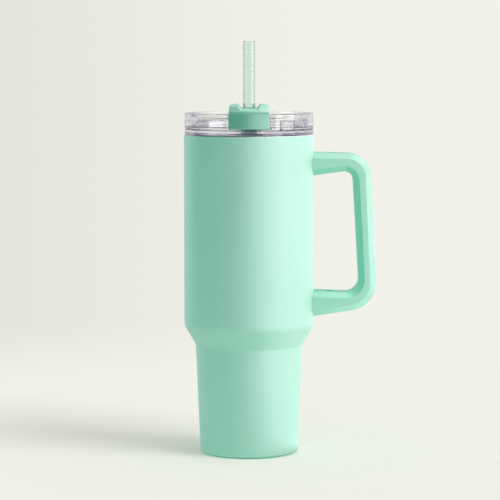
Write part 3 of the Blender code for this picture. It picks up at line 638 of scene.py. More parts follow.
@dataclass
class MugBody:
    """Double-walled vessel: coated shell, bare liner with its lip, and the closed foot."""

    radius: float = 0.04925
    height: float = 0.2420
    shoulder: float = 0.0973
    waist: float = 0.0826
    foot_top_radius: float = 0.0406
    foot_radius: float = 0.0371
    bottom: float = 0.0006
    ring_radius: float = 0.0331
    wall: float = 0.0006
    liner_inset: float = 0.0044
    rim_drop: float = 0.0003
    lip_round: float = 0.0015
    liner_floor: float = 0.0094
    liner_corner: float = 0.006
    shoulder_round: float = 0.011
    waist_round: float = 0.004
    foot_round: float = 0.003
    plate_top: float = 0.0038
    plate_round: float = 0.001
    dimple_radius: float = 0.007
    dimple_rise: float = 0.0014
    vent_radius: float = 0.001
    pad_edge_round: float = 0.0007

    def corners(self) -> Array:
        """Corners of the mug's outside, from the lip down to the floor."""
        return np.array([(self.radius, self.height), (self.radius, self.shoulder),
                         (self.foot_top_radius, self.waist), (self.foot_radius, self.bottom)])

    def shell(self) -> Surface:
        """Outer path with its three bends, its copy a wall further in, and both turned about the axis.

        Returns:
            The turned shell.
        """
        top, *bends = self.corners()
        path = fillet([(top[0], self.height - self.rim_drop), *bends, (self.ring_radius, self.bottom)],
                      [0, self.shoulder_round, self.waist_round, self.foot_round, 0], BEND_STEPS)
        path = supported(path)
        return lathe(np.vstack([path, offset(path, -self.wall)[::-1]]))

    def liner(self) -> Surface:
        """Inner path from the lip to the axis, its copy a wall further out, and both turned.

        Returns:
            The turned liner.
        """
        top, shoulder, waist, foot = offset(self.corners(), -self.liner_inset)
        lean = (foot[0] - waist[0]) / (foot[1] - waist[1])
        floor_radius = waist[0] + lean * (self.liner_floor - waist[1])
        path = fillet(
            [(self.radius - self.wall - GAP, self.height), (top[0], self.height), shoulder, waist,
             (floor_radius, self.liner_floor), (0, self.liner_floor)],
            [0, self.lip_round, self.shoulder_round - self.liner_inset,
             self.waist_round + self.liner_inset, self.liner_corner, 0])
        path = supported(path)
        return lathe(np.vstack([path[::-1], offset(path, self.wall)]), closed=False)

    def end_plate(self) -> Surface:
        """Pressed plate in the foot: rim, flat and a dimple with a vent, a wall thick.

        Returns:
            The turned plate.
        """
        rim = self.ring_radius - GAP
        dimple_top = self.plate_top + self.dimple_rise
        path = fillet(
            [(rim, self.bottom), (rim, self.plate_top),
             (self.dimple_radius + self.dimple_rise, self.plate_top),
             (self.dimple_radius, dimple_top), (self.vent_radius, dimple_top)],
            [0, self.plate_round, 0, 0, 0])
        return lathe(np.vstack([path, offset(path, self.wall)[::-1]]))

    def pad(self) -> Surface:
        """Disc under the foot, with a rounded lower edge.

        Returns:
            The turned disc.
        """
        low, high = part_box("base_pad")
        path = fillet([(0, low.z), (high.x, low.z), (high.x, high.z), (0, high.z)],
                      [0, self.pad_edge_round, 0, 0])
        return lathe(supported(path), closed=False)

    def build(self) -> None:
        """Makes and dresses the vessel's pieces."""
        dress(self.shell().piece("mug_shell"), "outer_shell", Body.MUG, POWDER_COAT)
        dress(self.liner().piece("mug_liner"), ("liner_wall", "liner_cup"), Body.MUG, BARE_STEEL)
        dress(self.end_plate().piece("mug_end_plate"), "outer_base", Body.MUG, BARE_STEEL)
        dress(self.pad().piece("mug_pad"), "base_pad", Body.MUG, PAD_SILICONE)
        coat_solids(["vacuum_plug", "getter_pellet"], BARE_STEEL)


@dataclass
class Handle:
    """Two mouldings that follow an outer and an inner rail, screwed to brackets on the shell."""

    body_radius: float = 0.04925
    top: float = 0.2288
    top_fall: float = 0.00105
    upper_root: float = 0.0173
    upper_arm: float = 0.01225
    low: float = 0.1047
    lower_root: float = 0.0192
    lower_lift: float = 0.00725
    lower_arm: float = 0.01045
    grip: float = 0.07825
    thickness: float = 0.01318
    lean: float = 0.0054
    outer_bends: Span = (0.018, 0.021)
    inner_bends: Span = (0.0072, 0.010)
    width: float = 0.025
    chamfer_width: float = 0.0045
    outer_chamfer: float = 0.0044
    inner_chamfer: float = 0.0046
    wall: float = 0.0022
    rib_height: float = 0.0018
    rib_thickness: float = 0.0014
    edge_round: float = 0.0008
    parting_round: float = 0.00012
    seam: float = 0.00004
    root_gap: float = 0.00015
    root_embed: float = 0.002
    screw_reach: float = 0.0115
    hole_gap: float = 0.0001
    plug_round: float = 0.0004

    def rail_corners(self) -> Array:
        """Corners of the outer and the inner rail, their ends drawn on into the shell.

        Returns:
            Points (2, 4, 2).
        """
        face = self.grip + self.thickness
        rails = np.array([
            [(self.body_radius, self.top), (face, self.top - self.top_fall),
             (face + self.lean, self.low + self.lower_lift), (self.body_radius, self.low)],
            [(self.body_radius, self.top - self.upper_root),
             (self.grip, self.top - self.top_fall - self.upper_arm),
             (self.grip + self.lean, self.low + self.lower_lift + self.lower_arm),
             (self.body_radius, self.low + self.lower_root)],
        ])
        root = math.sqrt(self.body_radius**2 - (self.width / 2) ** 2) - self.root_embed
        for end, inner in ((0, 1), (3, 2)):
            arm = rails[:, end] - rails[:, inner]
            rails[:, end] += arm * ((root - self.body_radius) / arm[:, :1])
        return rails

    def rails(self) -> Array:
        """Both rails with their bends, and supports at the same shares of each straight run.

        Returns:
            Points (2, n, 2).
        """
        corners = self.rail_corners()
        bent = np.stack([fillet(rail, [0, *bends, 0], BEND_STEPS)
                         for rail, bends in zip(corners, (self.outer_bends, self.inner_bends))])
        shares = np.array(STRAIGHT_SHARES)[:, None]
        parts = []
        start = 0
        for run in (0, BEND_STEPS + 1, 2 * BEND_STEPS + 2):
            here, ahead = bent[:, run, None], bent[:, run + 1, None]
            parts += [bent[:, start:run + 1], here + (ahead - here) * shares]
            start = run + 1
        return np.concatenate([*parts, bent[:, start:]], axis=1)

    def rings(self, section: Array, outer: Array, inner: Array) -> Array:
        """Section points (n, m, 2) set across the rails, both ends cut to the shell's round face.

        A point (out, across) of ring n is middle + out * outward in the handle's plane, and across in Y.
        An end point slides along its arm until x * x + y * y is the shell's radius squared.

        Args:
            section: Section at each rail point.
            outer: Outer rail (n, 2).
            inner: Inner rail (n, 2).

        Returns:
            Rings (n, m, 3).
        """
        middle = (outer + inner) / 2
        outward = unit(outer - inner)
        plane = middle[:, None] + outward[:, None] * section[..., :1]
        rings = np.stack([plane[..., 0], section[..., 1], plane[..., 1]], -1)
        for end, beside in ((0, 1), (-1, -2)):
            arm = rings[beside] - rings[end]
            face = np.sqrt((self.body_radius + self.root_gap) ** 2 - rings[end, :, 1] ** 2)
            share = (face - rings[end, :, 0]) / arm[:, 0]
            rings[end] += arm * share[:, None]
        return rings

    def outer_section(self, half: Array) -> Array:
        """Open channel with two outer chamfers, out along one wall and back along the other.

        Args:
            half: Half the thickness at each rail point (n, 1).

        Returns:
            Points (n, m, 2).
        """
        side = np.full_like(half, self.width / 2)
        parting = self.inner_chamfer - half
        edge = side - self.chamfer_width
        corners = np.stack([
            np.concatenate(pair, -1) for pair in (
                (parting, -side), (half - self.outer_chamfer, -side), (half, -edge), (half, edge),
                (half - self.outer_chamfer, side), (parting, side))], axis=1)
        radii = [0, self.edge_round, self.edge_round, self.edge_round, self.edge_round, 0]
        inside = fillet(offset(corners, self.wall), [self.parting_round] * len(radii))
        return np.concatenate([fillet(corners, radii), inside[:, ::-1]], axis=1)

    def inner_section(self, half: Array) -> Array:
        """Floor with two inner chamfers and two ribs, as a closed ring.

        Args:
            half: Half the thickness at each rail point (n, 1).

        Returns:
            Points (n, m, 2).
        """
        side = np.full_like(half, self.width / 2)
        parting = self.inner_chamfer - half - self.seam
        rib = side - self.wall - GAP
        inside = rib - self.rib_thickness
        top = parting + self.rib_height
        edge = side - self.chamfer_width
        right = [(-half, edge), (parting, side), (parting, rib), (top, rib), (top, inside),
                 (self.wall - half, np.minimum(edge, inside))]
        left = [(out, -across) for out, across in right[::-1]]
        corners = np.stack([np.concatenate(pair, -1) for pair in right + left], axis=1)
        radii = [self.edge_round, self.parting_round] + [0.0] * 8 + [self.parting_round, self.edge_round]
        return fillet(corners, radii, closed=True)

    def carried(self, section: Callable[[Array], Array]) -> Array:
        """Rings of a section that is carried along the rails.

        Args:
            section: Gives the section's points for half the thickness at each rail point.

        Returns:
            Rings (n, m, 3).
        """
        outer, inner = self.rails()
        half = np.linalg.norm(outer - inner, axis=-1, keepdims=True) / 2
        return self.rings(section(half), outer, inner)

    def outer_moulding(self) -> Surface:
        """Channel carried along the rails, its ends closed from the outer to the inner wall.

        Returns:
            The closed shape.
        """
        rings = self.carried(self.outer_section)
        levels, count = rings.shape[:2]
        lip = np.arange(count // 2 - 1)
        cap = np.stack([lip, lip + 1, count - 2 - lip, count - 1 - lip], -1)
        ends = np.vstack([cap, cap + (levels - 1) * count]).tolist()
        return Surface(rings, grid_faces(levels, count) + ends)

    def inner_moulding(self) -> Surface:
        """Cover carried along the rails, its ends filled."""
        return stacked(self.carried(self.inner_section))

    def screw_distance(self) -> float:
        """Distance of the screws from the mug's axis."""
        return self.body_radius + self.screw_reach

    def plug(self, node: str) -> Surface:
        """Cap over a screw head, a disc in its solid's place with rounded edges.

        Args:
            node: Solid whose heights and radius it takes.

        Returns:
            The turned shape at the screw.
        """
        low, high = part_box(node)
        radius = (high.y - low.y) / 2
        profile = fillet([(0, low.z), (radius, low.z), (radius, high.z), (0, high.z)],
                         [0, self.plug_round, self.plug_round, 0])
        disc = lathe(profile, closed=False, segments=FINE_SEGMENTS)
        return disc.moved(self.screw_distance(), 0, 0)

    def build(self) -> None:
        """Makes and dresses the handle's pieces."""
        dress(self.outer_moulding().piece("handle_back"), "handle_outer_shell", Body.MUG, HANDLE_PLASTIC)
        cover = self.inner_moulding().piece("handle_front")
        for plug in ("upper_screw_plug", "lower_screw_plug"):
            low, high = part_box(plug)
            hole = rod((high.y - low.y) / 2 + self.hole_gap, low.z - self.wall, high.z + self.wall)
            carve(cover, Cut.TAKE, hole.moved(self.screw_distance(), 0, 0))
            dress(self.plug(plug).piece(plug + "_cap"), plug, Body.MUG, HANDLE_PLASTIC)
        dress(cover, "handle_inner_cover", Body.MUG, HANDLE_INNER_SHADED)
        coat_solids(["upper_bracket", "lower_bracket", "upper_screw", "lower_screw"], BARE_STEEL)
        coat_solids(["upper_insert", "lower_insert"], INSERT_BRASS)


@dataclass
class Port:
    """Drink port of the lid, and the sip slot that lines up with it after a quarter turn."""

    position: float = 0.0285
    depth: float = 0.0075
    width: float = 0.016
    corner: float = 0.003

    def plan(self, along_x: bool, margin: float = 0.0) -> Array:
        """Rounded rectangle round the port at -Y, or round the slot at +X.

        Args:
            along_x: Whether it is the slot at +X.
            margin: Distance that the outline stands outside the opening.

        Returns:
            Points (n, 2).
        """
        reach = np.array([self.width, self.depth]) / 2 + margin
        signs = np.array([(-1, -1), (1, -1), (1, 1), (-1, 1)])
        outline = fillet(signs * reach, [self.corner + margin] * 4, closed=True)
        outline[:, 1] -= self.position
        return np.column_stack([-outline[:, 1], outline[:, 0]]) if along_x else outline


@dataclass
class Lid:
    """Clear lid base that plugs into the mouth, and its silicone seal."""

    port: Port
    seat: float = 0.2423
    radius: float = 0.04875
    band: float = 0.0040
    plate: float = 0.0024
    hub_bore: float = 0.0076
    edge_round: float = 0.0006
    skirt_radius: float = 0.04365
    skirt_wall: float = 0.0023
    skirt_depth: float = 0.016
    groove_drop: float = 0.005
    groove_height: float = 0.0056
    groove_depth: float = 0.0011
    mouth_radius: float = 0.04485
    lip_round: float = 0.0004

    def base(self) -> Surface:
        """Band, plate and skirt with the seal's groove, turned about the axis.

        Returns:
            The turned shape.
        """
        groove = self.skirt_radius - self.groove_depth
        foot = -self.groove_drop - self.groove_height
        inside = self.skirt_radius - self.skirt_wall
        under = self.band - self.plate
        corners = np.array([
            (self.hub_bore, self.band), (self.radius, self.band), (self.radius, 0),
            (self.skirt_radius, 0), (self.skirt_radius, -self.groove_drop), (groove, -self.groove_drop),
            (groove, foot), (self.skirt_radius, foot), (self.skirt_radius, -self.skirt_depth),
            (inside, -self.skirt_depth), (inside, under), (self.hub_bore, under)])
        edge = self.edge_round
        profile = fillet(corners, [0, edge, edge, 0, 0, 0, 0, 0, edge, edge, edge, 0], closed=True)
        return lathe(ring_closed(profile)).moved(0, 0, self.seat)

    def seal(self) -> Surface:
        """Ring with two soft lips that reach almost to the mouth's wall.

        Returns:
            The turned shape.
        """
        root = self.skirt_radius - self.groove_depth + GAP
        low = -self.groove_drop - self.groove_height + GAP
        high = -self.groove_drop - GAP
        lip = self.mouth_radius - GAP
        heights = np.linspace(low, high, 5)
        corners = [(root, low), (self.skirt_radius, low), (lip, heights[1]),
                   (self.skirt_radius, heights[2]), (lip, heights[3]), (self.skirt_radius, high),
                   (root, high)]
        soft = self.lip_round
        profile = fillet(corners, [0, 0, soft, soft, soft, 0, 0], closed=True)
        return lathe(profile).moved(0, 0, self.seat)

    def build(self) -> None:
        """Makes and dresses the lid's pieces."""
        base = self.base().piece("lid_clear_base")
        port = upright(self.port.plan(False), [-CUT_MARGIN, CUT_MARGIN])
        carve(base, Cut.TAKE, port.moved(0, 0, self.seat))
        dress(base, "lid_base", Body.LID, CLEAR_SHADED_BAND)
        dress(self.seal().piece("lid_seal"), "lid_gasket", Body.LID, SEAL_SILICONE)


@dataclass
class Cover:
    """Clear turning cover with its mint thumb bar, straw saddle, port seal and hub."""

    port: Port
    seat: float = 0.2466
    radius: float = 0.04875
    ring_height: float = 0.0118
    ring_wall: float = 0.0026
    ring_round: float = 0.0005
    edge_round: float = 0.0006
    gutter_width: float = 0.0064
    gutter_floor: float = 0.0014
    dome_height: float = 0.0087
    dome_round: float = 0.0042
    dome_draft: float = 0.0007
    dome_wall: float = 0.0014
    hub_bore: float = 0.0076
    chimney_wall: float = 0.0016
    bar_width: float = 0.0305
    bar_front: float = 0.04915
    bar_height: float = 0.0129
    bar_lift: float = 0.0005
    bar_back: float = 0.02145
    bar_round: float = 0.0009
    bar_corner: float = 0.0012
    platform_inset: float = 0.0016
    platform_top: float = 0.0134
    stem_radius: float = 0.0073
    stem_bore: float = 0.0061
    barb_top: float = -0.0088
    barb_height: float = 0.0012
    barb_step: float = 0.0008
    flange_radius: float = 0.0083
    flange: float = 0.0015
    seal_margin: float = 0.0015
    seal_pocket: float = 0.0012
    saddle_bottom: float = 0.0137
    saddle_inset: float = 0.0004
    saddle_shoulder: float = 0.0039
    ear_rise: float = 0.0050
    ear_spread: float = 0.0083
    ear_round: float = 0.0016
    notch_floor: float = 0.0017
    notch_half: float = 0.0059
    notch_round: float = 0.0008
    saddle_front_round: float = 0.0014
    saddle_side_round: float = 0.0009
    saddle_skirt: float = 0.0006
    saddle_rails: tuple[tuple[float, float, int], ...] = (
        (0.0, 0.0050, 9), (0.0053, 0.0064, 9), (0.0067, 0.0096, 22))
    outer_rails: tuple[float, int] = (0.0100, 12)
    straw_hole: float = 0.0050
    bush_bore: float = 0.0049
    bush_radius: float = 0.0058
    bush_round: float = 0.0003
    bush_lead: float = 0.0002
    washer_round: float = 0.0002
    nut_round: float = 0.0005

    def clear_cover(self) -> bpy.types.Object:
        """Ring wall, gutter and raised middle turned about Z, with the walled slot and the bar's gap.

        Returns:
            The finished object.
        """
        ring = self.radius - self.ring_wall
        dome = ring - self.gutter_width
        under = dome - self.dome_wall
        ceiling = self.dome_height - self.dome_wall
        corners = np.array([
            (self.hub_bore, self.dome_height), (dome - self.dome_draft, self.dome_height),
            (dome, self.gutter_floor), (ring, self.gutter_floor), (ring, self.ring_height),
            (self.radius, self.ring_height), (self.radius, 0), (under, 0),
            (under - self.dome_draft, ceiling), (self.hub_bore, ceiling)])
        radii = [0, self.dome_round, self.edge_round, self.edge_round, self.ring_round, self.ring_round,
                 self.edge_round, 0, self.dome_round - self.dome_wall, 0]
        profile = ring_closed(fillet(corners, radii, closed=True))
        piece = lathe(profile).moved(0, 0, self.seat).piece("cover_clear")
        chimney_top = self.dome_height - self.dome_wall / 2
        chimney = upright(self.port.plan(True, self.chimney_wall), [0, chimney_top])
        slot = upright(self.port.plan(True), [-CUT_MARGIN, self.dome_height + CUT_MARGIN])
        half = self.bar_width / 2 + GAP
        gap = block((-half, -self.radius - CUT_MARGIN, -CUT_MARGIN),
                    (half, GAP - self.bar_back, self.ring_height + CUT_MARGIN))
        for how, shape in ((Cut.JOIN, chimney), (Cut.TAKE, slot), (Cut.TAKE, gap)):
            carve(piece, how, shape.moved(0, 0, self.seat))
        return piece

    def paint_edge_shade(self, cover: bpy.types.Object) -> None:
        """Gives the faces whose centres lie in the ring's rounded outer edge a dark clear material:
        painted shade, a dark line along the ring's top.

        Args:
            cover: The dressed clear cover.
        """
        faces = cover.data.polygons
        centres = np.empty(3 * len(faces))
        faces.foreach_get("center", centres)
        outer = np.hypot(centres[0::3], centres[1::3]) > self.radius - self.ring_round
        on_edge = outer & (centres[2::3] > self.seat + self.ring_height - self.ring_round)
        cover.data.materials.append(CLEAR_EDGE_SHADE.material())
        faces.foreach_set("material_index", on_edge.astype(np.int32))

    def bar_plan(self, inset: float) -> Array:
        """Plan of the bar: front arc on the lid's rim, rounded corners, straight sides and round end.

        Args:
            inset: Distance inside the bar's own outline.

        Returns:
            Points (n, 2), the same count for every inset.
        """
        half = self.bar_width / 2 - inset
        front = self.bar_front - inset
        spread = math.asin(half / front)
        angle = np.linspace(-spread, spread, BAR_FRONT_POINTS) - np.pi / 2
        face = front * np.column_stack([np.cos(angle), np.sin(angle)])
        turn = np.linspace(0, np.pi, BAR_BACK_POINTS)
        back = half * np.column_stack([np.cos(turn), np.sin(turn)])
        skip = BAR_CORNER_SKIP
        left = fillet([back[-1], face[0], face[skip]], [0, self.bar_corner, 0])[1:-1]
        right = fillet([face[-1 - skip], face[-1], back[0]], [0, self.bar_corner, 0])[1:-1]
        return np.vstack([left, face[skip:-skip], right, back])

    def bar_block(self) -> Surface:
        """Bar plan with rounded lower and upper edges: at edge angle a the inset is r (1 - sin a).

        Returns:
            The closed block.
        """
        angle = np.linspace(0, np.pi / 2, EDGE_POINTS)
        insets = self.bar_round * (1 - np.sin(angle))
        rises = self.bar_round * (1 - np.cos(angle))
        levels = [*zip(insets, self.bar_lift + rises), *zip(insets[::-1], self.bar_height - rises[::-1])]
        plans = [self.bar_plan(inset) for inset, _ in levels]
        return stacked(np.stack([np.column_stack([plan, np.full(len(plan), height)])
                                 for plan, (_, height) in zip(plans, levels)]))

    def thumb_bar(self) -> bpy.types.Object:
        """Block in the ring's gap, beam over the raised middle, platform and stem, bored for the bush.

        Returns:
            The finished object.
        """
        reach = self.radius + CUT_MARGIN
        middle = (self.bar_height + self.dome_height) / 2
        clear_top = self.platform_top + CUT_MARGIN
        barb_bottom = self.barb_top - self.barb_height
        piece = self.bar_block().moved(0, 0, self.seat).piece("cover_bar")
        under = block((-reach, -self.bar_back, -CUT_MARGIN), (reach, reach, self.dome_height + GAP))
        platform = upright(self.bar_plan(self.platform_inset), [middle, self.platform_top])
        stem = lathe(np.array([
            (0, barb_bottom), (self.stem_radius, barb_bottom),
            (self.stem_radius + self.barb_step, self.barb_top), (self.stem_radius, self.barb_top),
            (self.stem_radius, middle), (0, middle)]), closed=False, segments=FINE_SEGMENTS)
        bore = rod(self.stem_bore, self.barb_top - CUT_MARGIN, clear_top)
        flange_seat = rod(self.flange_radius, self.platform_top - self.flange, clear_top)
        pocket = upright(self.port.plan(False, self.seal_margin + GAP),
                         [-CUT_MARGIN, self.bar_lift + self.seal_pocket])
        for how, shape in ((Cut.TAKE, under), (Cut.JOIN, platform), (Cut.JOIN, stem), (Cut.TAKE, bore),
                           (Cut.TAKE, flange_seat), (Cut.TAKE, pocket)):
            carve(piece, how, shape.moved(0, 0, self.seat))
        return piece

    def saddle_height(self, across: Array) -> Array:
        """Height of the saddle's top across it: notch floor, ear slope, ear and shoulder.

        Args:
            across: Distances from its middle.

        Returns:
            Heights of the same shape.
        """
        half = self.bar_width / 2 - self.saddle_inset
        path = fillet([(0, self.notch_floor), (self.notch_half, self.notch_floor),
                       (self.ear_spread, self.ear_rise), (half, self.saddle_shoulder)],
                      [0, self.notch_round, self.ear_round, 0])
        return np.interp(np.abs(across), path[:, 0], path[:, 1])

    def saddle(self) -> Surface:
        """Cap on the bar, made of U-shaped rails that run back from the front arc and round the straw.

        Rail k lies at a distance x_k from the middle: from y = -sqrt(front^2 - x_k^2) straight back to
        y = 0, then half a turn of radius x_k, then to the front again. The top's height is the section
        at |x|, less r - sqrt(r^2 - (r - d)^2) near an edge at distance d. Flat rails below close it, and
        drop at the rim to a skirt round the bar's platform.

        Returns:
            The closed shape, without the straw's hole.
        """
        half = self.bar_width / 2 - self.saddle_inset
        front = self.bar_front - self.saddle_inset
        curve = 1 - np.sin(np.linspace(0, np.pi / 2, EDGE_POINTS))
        first, number = self.outer_rails
        spans = (*self.saddle_rails, (first, half - self.saddle_side_round, number))
        x = np.concatenate([*(np.linspace(*span) for span in spans),
                            half - self.saddle_side_round * curve[1:]])[:, None]
        edge = -np.sqrt(front**2 - x**2)
        near = self.saddle_front_round * curve[::-1]
        start = edge + self.saddle_front_round
        run = np.hstack([edge + near, start * (1 - np.linspace(0, 1, SADDLE_RUN_POINTS)[1:])])
        turn = np.linspace(0, np.pi, SADDLE_TURN_POINTS)[1:-1]
        side = np.repeat(x, run.shape[1], 1)
        xs = np.hstack([side, x * np.cos(turn), -side])
        ys = np.hstack([run, x * np.sin(turn), run[:, ::-1]])
        front_gap = np.where(ys < 0, ys - edge, np.inf)
        height = self.saddle_height(xs)
        for gap, radius in ((front_gap, self.saddle_front_round), (half - x, self.saddle_side_round)):
            height = height - radius + np.sqrt(radius**2 - (radius - np.minimum(gap, radius)) ** 2)
        top = np.stack([xs, ys, height], -1)
        rim = np.minimum(front_gap, half - x) < self.saddle_side_round
        flat = np.stack([xs, ys, np.where(rim, -self.saddle_skirt, 0.0)], -1)
        rails, count = xs.shape
        rows = np.concatenate([flat, top[::-1]])
        lower = np.arange(rails - 1) * count
        upper = (2 * rails - 1) * count - lower
        walls = [np.stack([lower + end, lower + count + end, upper - count + end, upper + end], -1)
                 for end in (0, count - 1)]
        faces = grid_faces(2 * rails, count, wrap_columns=False) + np.vstack(walls).tolist()
        return Surface(rows, faces).moved(0, 0, self.seat + self.saddle_bottom)

    def tube(self, node: str, edge: float) -> Surface:
        """Tube in its solid's place round the stem.

        Args:
            node: Solid whose heights and outer radius it takes.
            edge: Radius of its edges.

        Returns:
            The turned shape.
        """
        low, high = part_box(node)
        return sleeve(self.stem_radius + GAP, high.x, low.z, high.z, edge)

    def bush(self) -> Surface:
        """Flanged bush round the straw, with a small lead at its lower end.

        Returns:
            The turned shape.
        """
        low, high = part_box("straw_bush")
        shoulder = high.z - self.flange + GAP
        corners = [(self.bush_bore, low.z), (self.bush_radius, low.z), (self.bush_radius, shoulder),
                   (high.x, shoulder), (high.x, high.z), (self.bush_bore, high.z)]
        soft = self.bush_round
        profile = fillet(corners, [soft, self.bush_lead, 0, soft, soft, soft], closed=True)
        return lathe(profile, segments=FINE_SEGMENTS)

    def build(self) -> None:
        """Makes and dresses the cover's pieces."""
        cover = self.clear_cover()
        dress(cover, "rotating_cover", Body.COVER, CLEAR_PLASTIC)
        self.paint_edge_shade(cover)
        dress(self.thumb_bar(), "thumb_bar", Body.COVER, BAR_PLASTIC)
        saddle = self.saddle().piece("cover_saddle")
        hole = rod(self.straw_hole, self.seat, self.seat + self.saddle_bottom + CUT_MARGIN)
        carve(saddle, Cut.TAKE, hole)
        dress(saddle, "straw_saddle", Body.COVER, SADDLE_PLASTIC)
        low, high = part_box("port_seal")
        seal = upright(self.port.plan(False, self.seal_margin), [low.z, high.z])
        dress(seal.piece("cover_port_seal"), "port_seal", Body.COVER, SEAL_SILICONE)
        washer = self.tube("hub_washer", self.washer_round)
        dress(washer.piece("cover_hub_washer"), "hub_washer", Body.COVER, SEAL_SILICONE)
        nut = self.tube("hub_nut", self.nut_round)
        dress(nut.piece("cover_hub_nut"), "hub_nut", Body.COVER, BAR_PLASTIC)
        dress(self.bush().piece("cover_straw_bush"), "straw_bush", Body.COVER, SEAL_SILICONE)


@dataclass
class Straw:
    """Clear straight tube on the mug's axis."""

    radius: float = 0.0047
    wall: float = 0.00125
    lip_round: float = 0.00045

    def tube(self) -> Surface:
        """Tube with round lips, as tall as its solid."""
        low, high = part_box("straw")
        return sleeve(self.radius - self.wall, self.radius, low.z, high.z, self.lip_round)

    def build(self) -> None:
        """Makes and dresses the straw."""
        dress(self.tube().piece("drinking_straw"), "straw", Body.STRAW, STRAW_PLASTIC)


# Studio

def aim(lamp: bpy.types.Light, place: Place, target: Place) -> bpy.types.Object:
    """Object that holds a lamp at a place and faces it to a target.

    Args:
        lamp: Light data.
        place: Where the lamp stands.
        target: Point that it faces.

    Returns:
        The linked object.
    """
    made = bpy.data.objects.new(lamp.name, lamp)
    x, y, z = np.subtract(target, place)
    made.location = place
    made.rotation_euler = (math.atan2(math.hypot(x, y), -z), 0.0, math.atan2(-x, y))
    bpy.context.scene.collection.objects.link(made)
    return made


def link_light(lamp: bpy.types.Object, pieces: list[bpy.types.Object], only: bool) -> None:
    """Lets a lamp light some pieces alone, or all but them.

    Args:
        lamp: Lamp object.
        pieces: Pieces that are named in the link.
        only: Whether it lights them alone.
    """
    receivers = bpy.data.collections.new(lamp.name)
    for piece in pieces:
        receivers.objects.link(piece)
    for member in receivers.collection_objects:
        member.light_linking.link_state = "INCLUDE" if only else "EXCLUDE"
    lamp.light_linking.receiver_collection = receivers


@dataclass(frozen=True)
class Panel:
    """Soft panel that only shows as gloss, on the pieces it names or else on all but the clear ones."""

    name: str
    place: Place
    size: tuple[float, float]
    radiance: float
    target: Place = (0.0, 0.0, 0.18)
    pieces: tuple[str, ...] = ()
    through: bool = True

    def build(self) -> None:
        """Makes the panel; its power is radiance * pi * area."""
        lamp = bpy.data.lights.new(self.name, "AREA")
        lamp.shape = "RECTANGLE"
        lamp.size, lamp.size_y = self.size
        lamp.energy = self.radiance * math.pi * self.size[0] * self.size[1]
        made = aim(lamp, self.place, self.target)
        made.visible_diffuse = False
        made.visible_camera = False
        made.visible_transmission = self.through
        named = [bpy.data.objects[name] for name in self.pieces or CLEAR_PIECES]
        link_light(made, named, bool(self.pieces))


@dataclass(frozen=True)
class Sun:
    """Far lamp with a wide disc, for soft even light on the mug or on the floor."""

    name: str
    way: Place
    spread: float
    strength: float
    on_floor: bool

    def build(self, floor: bpy.types.Object) -> None:
        """Makes the lamp, linked to the floor alone or to all but the floor.

        Args:
            floor: Studio floor.
        """
        lamp = bpy.data.lights.new(self.name, "SUN")
        lamp.angle = math.radians(self.spread)
        lamp.energy = self.strength
        made = aim(lamp, self.way, (0.0, 0.0, 0.0))
        made.visible_glossy = False
        link_light(made, [floor], self.on_floor)


SUNS = (
    Sun("floor_key", (0.665, -0.39, 0.60), 35.0, 1.3, True),
    Sun("mug_fill", (-0.55, -0.75, 0.36), 60.0, 0.22, False),
)
PANELS = (
    Panel("panel_low", (0.25, -0.03, 0.004), (0.34, 0.34), 1.4, (0.25, -0.03, 1.0)),
    Panel("panel_arm", (0.065, -0.12, 0.55), (0.25, 0.25), 4.0, (0.065, -0.012, 0.12),
          pieces=("handle_front",)),
    Panel("panel_foot", (0.053, -0.02, 0.003), (0.018, 0.09), 2.8, (0.053, -0.02, 1.0),
          pieces=("mug_shell",)),
    Panel("panel_corner", (0.78, 0.05, 0.92), (0.6, 0.6), 4.5),
    Panel("panel_top", (0.2, -0.15, 1.25), (1.0, 0.7), 2.2),
    Panel("lid_right", (1.0, -0.45, 0.25), (0.75, 0.5), 5.5, pieces=("cover_clear",), through=False),
    Panel("straw_right", (1.0, -0.45, 0.25), (0.75, 0.5), 2.9, pieces=STRAW_PIECES, through=False),
    Panel("straw_left", (-1.0, -0.45, 0.25), (0.75, 0.5), 1.8, pieces=STRAW_PIECES, through=False),
    Panel("lid_left", (-1.027, -0.218, 0.72), (0.84, 0.9), 5.0, pieces=LID_PIECES),
)


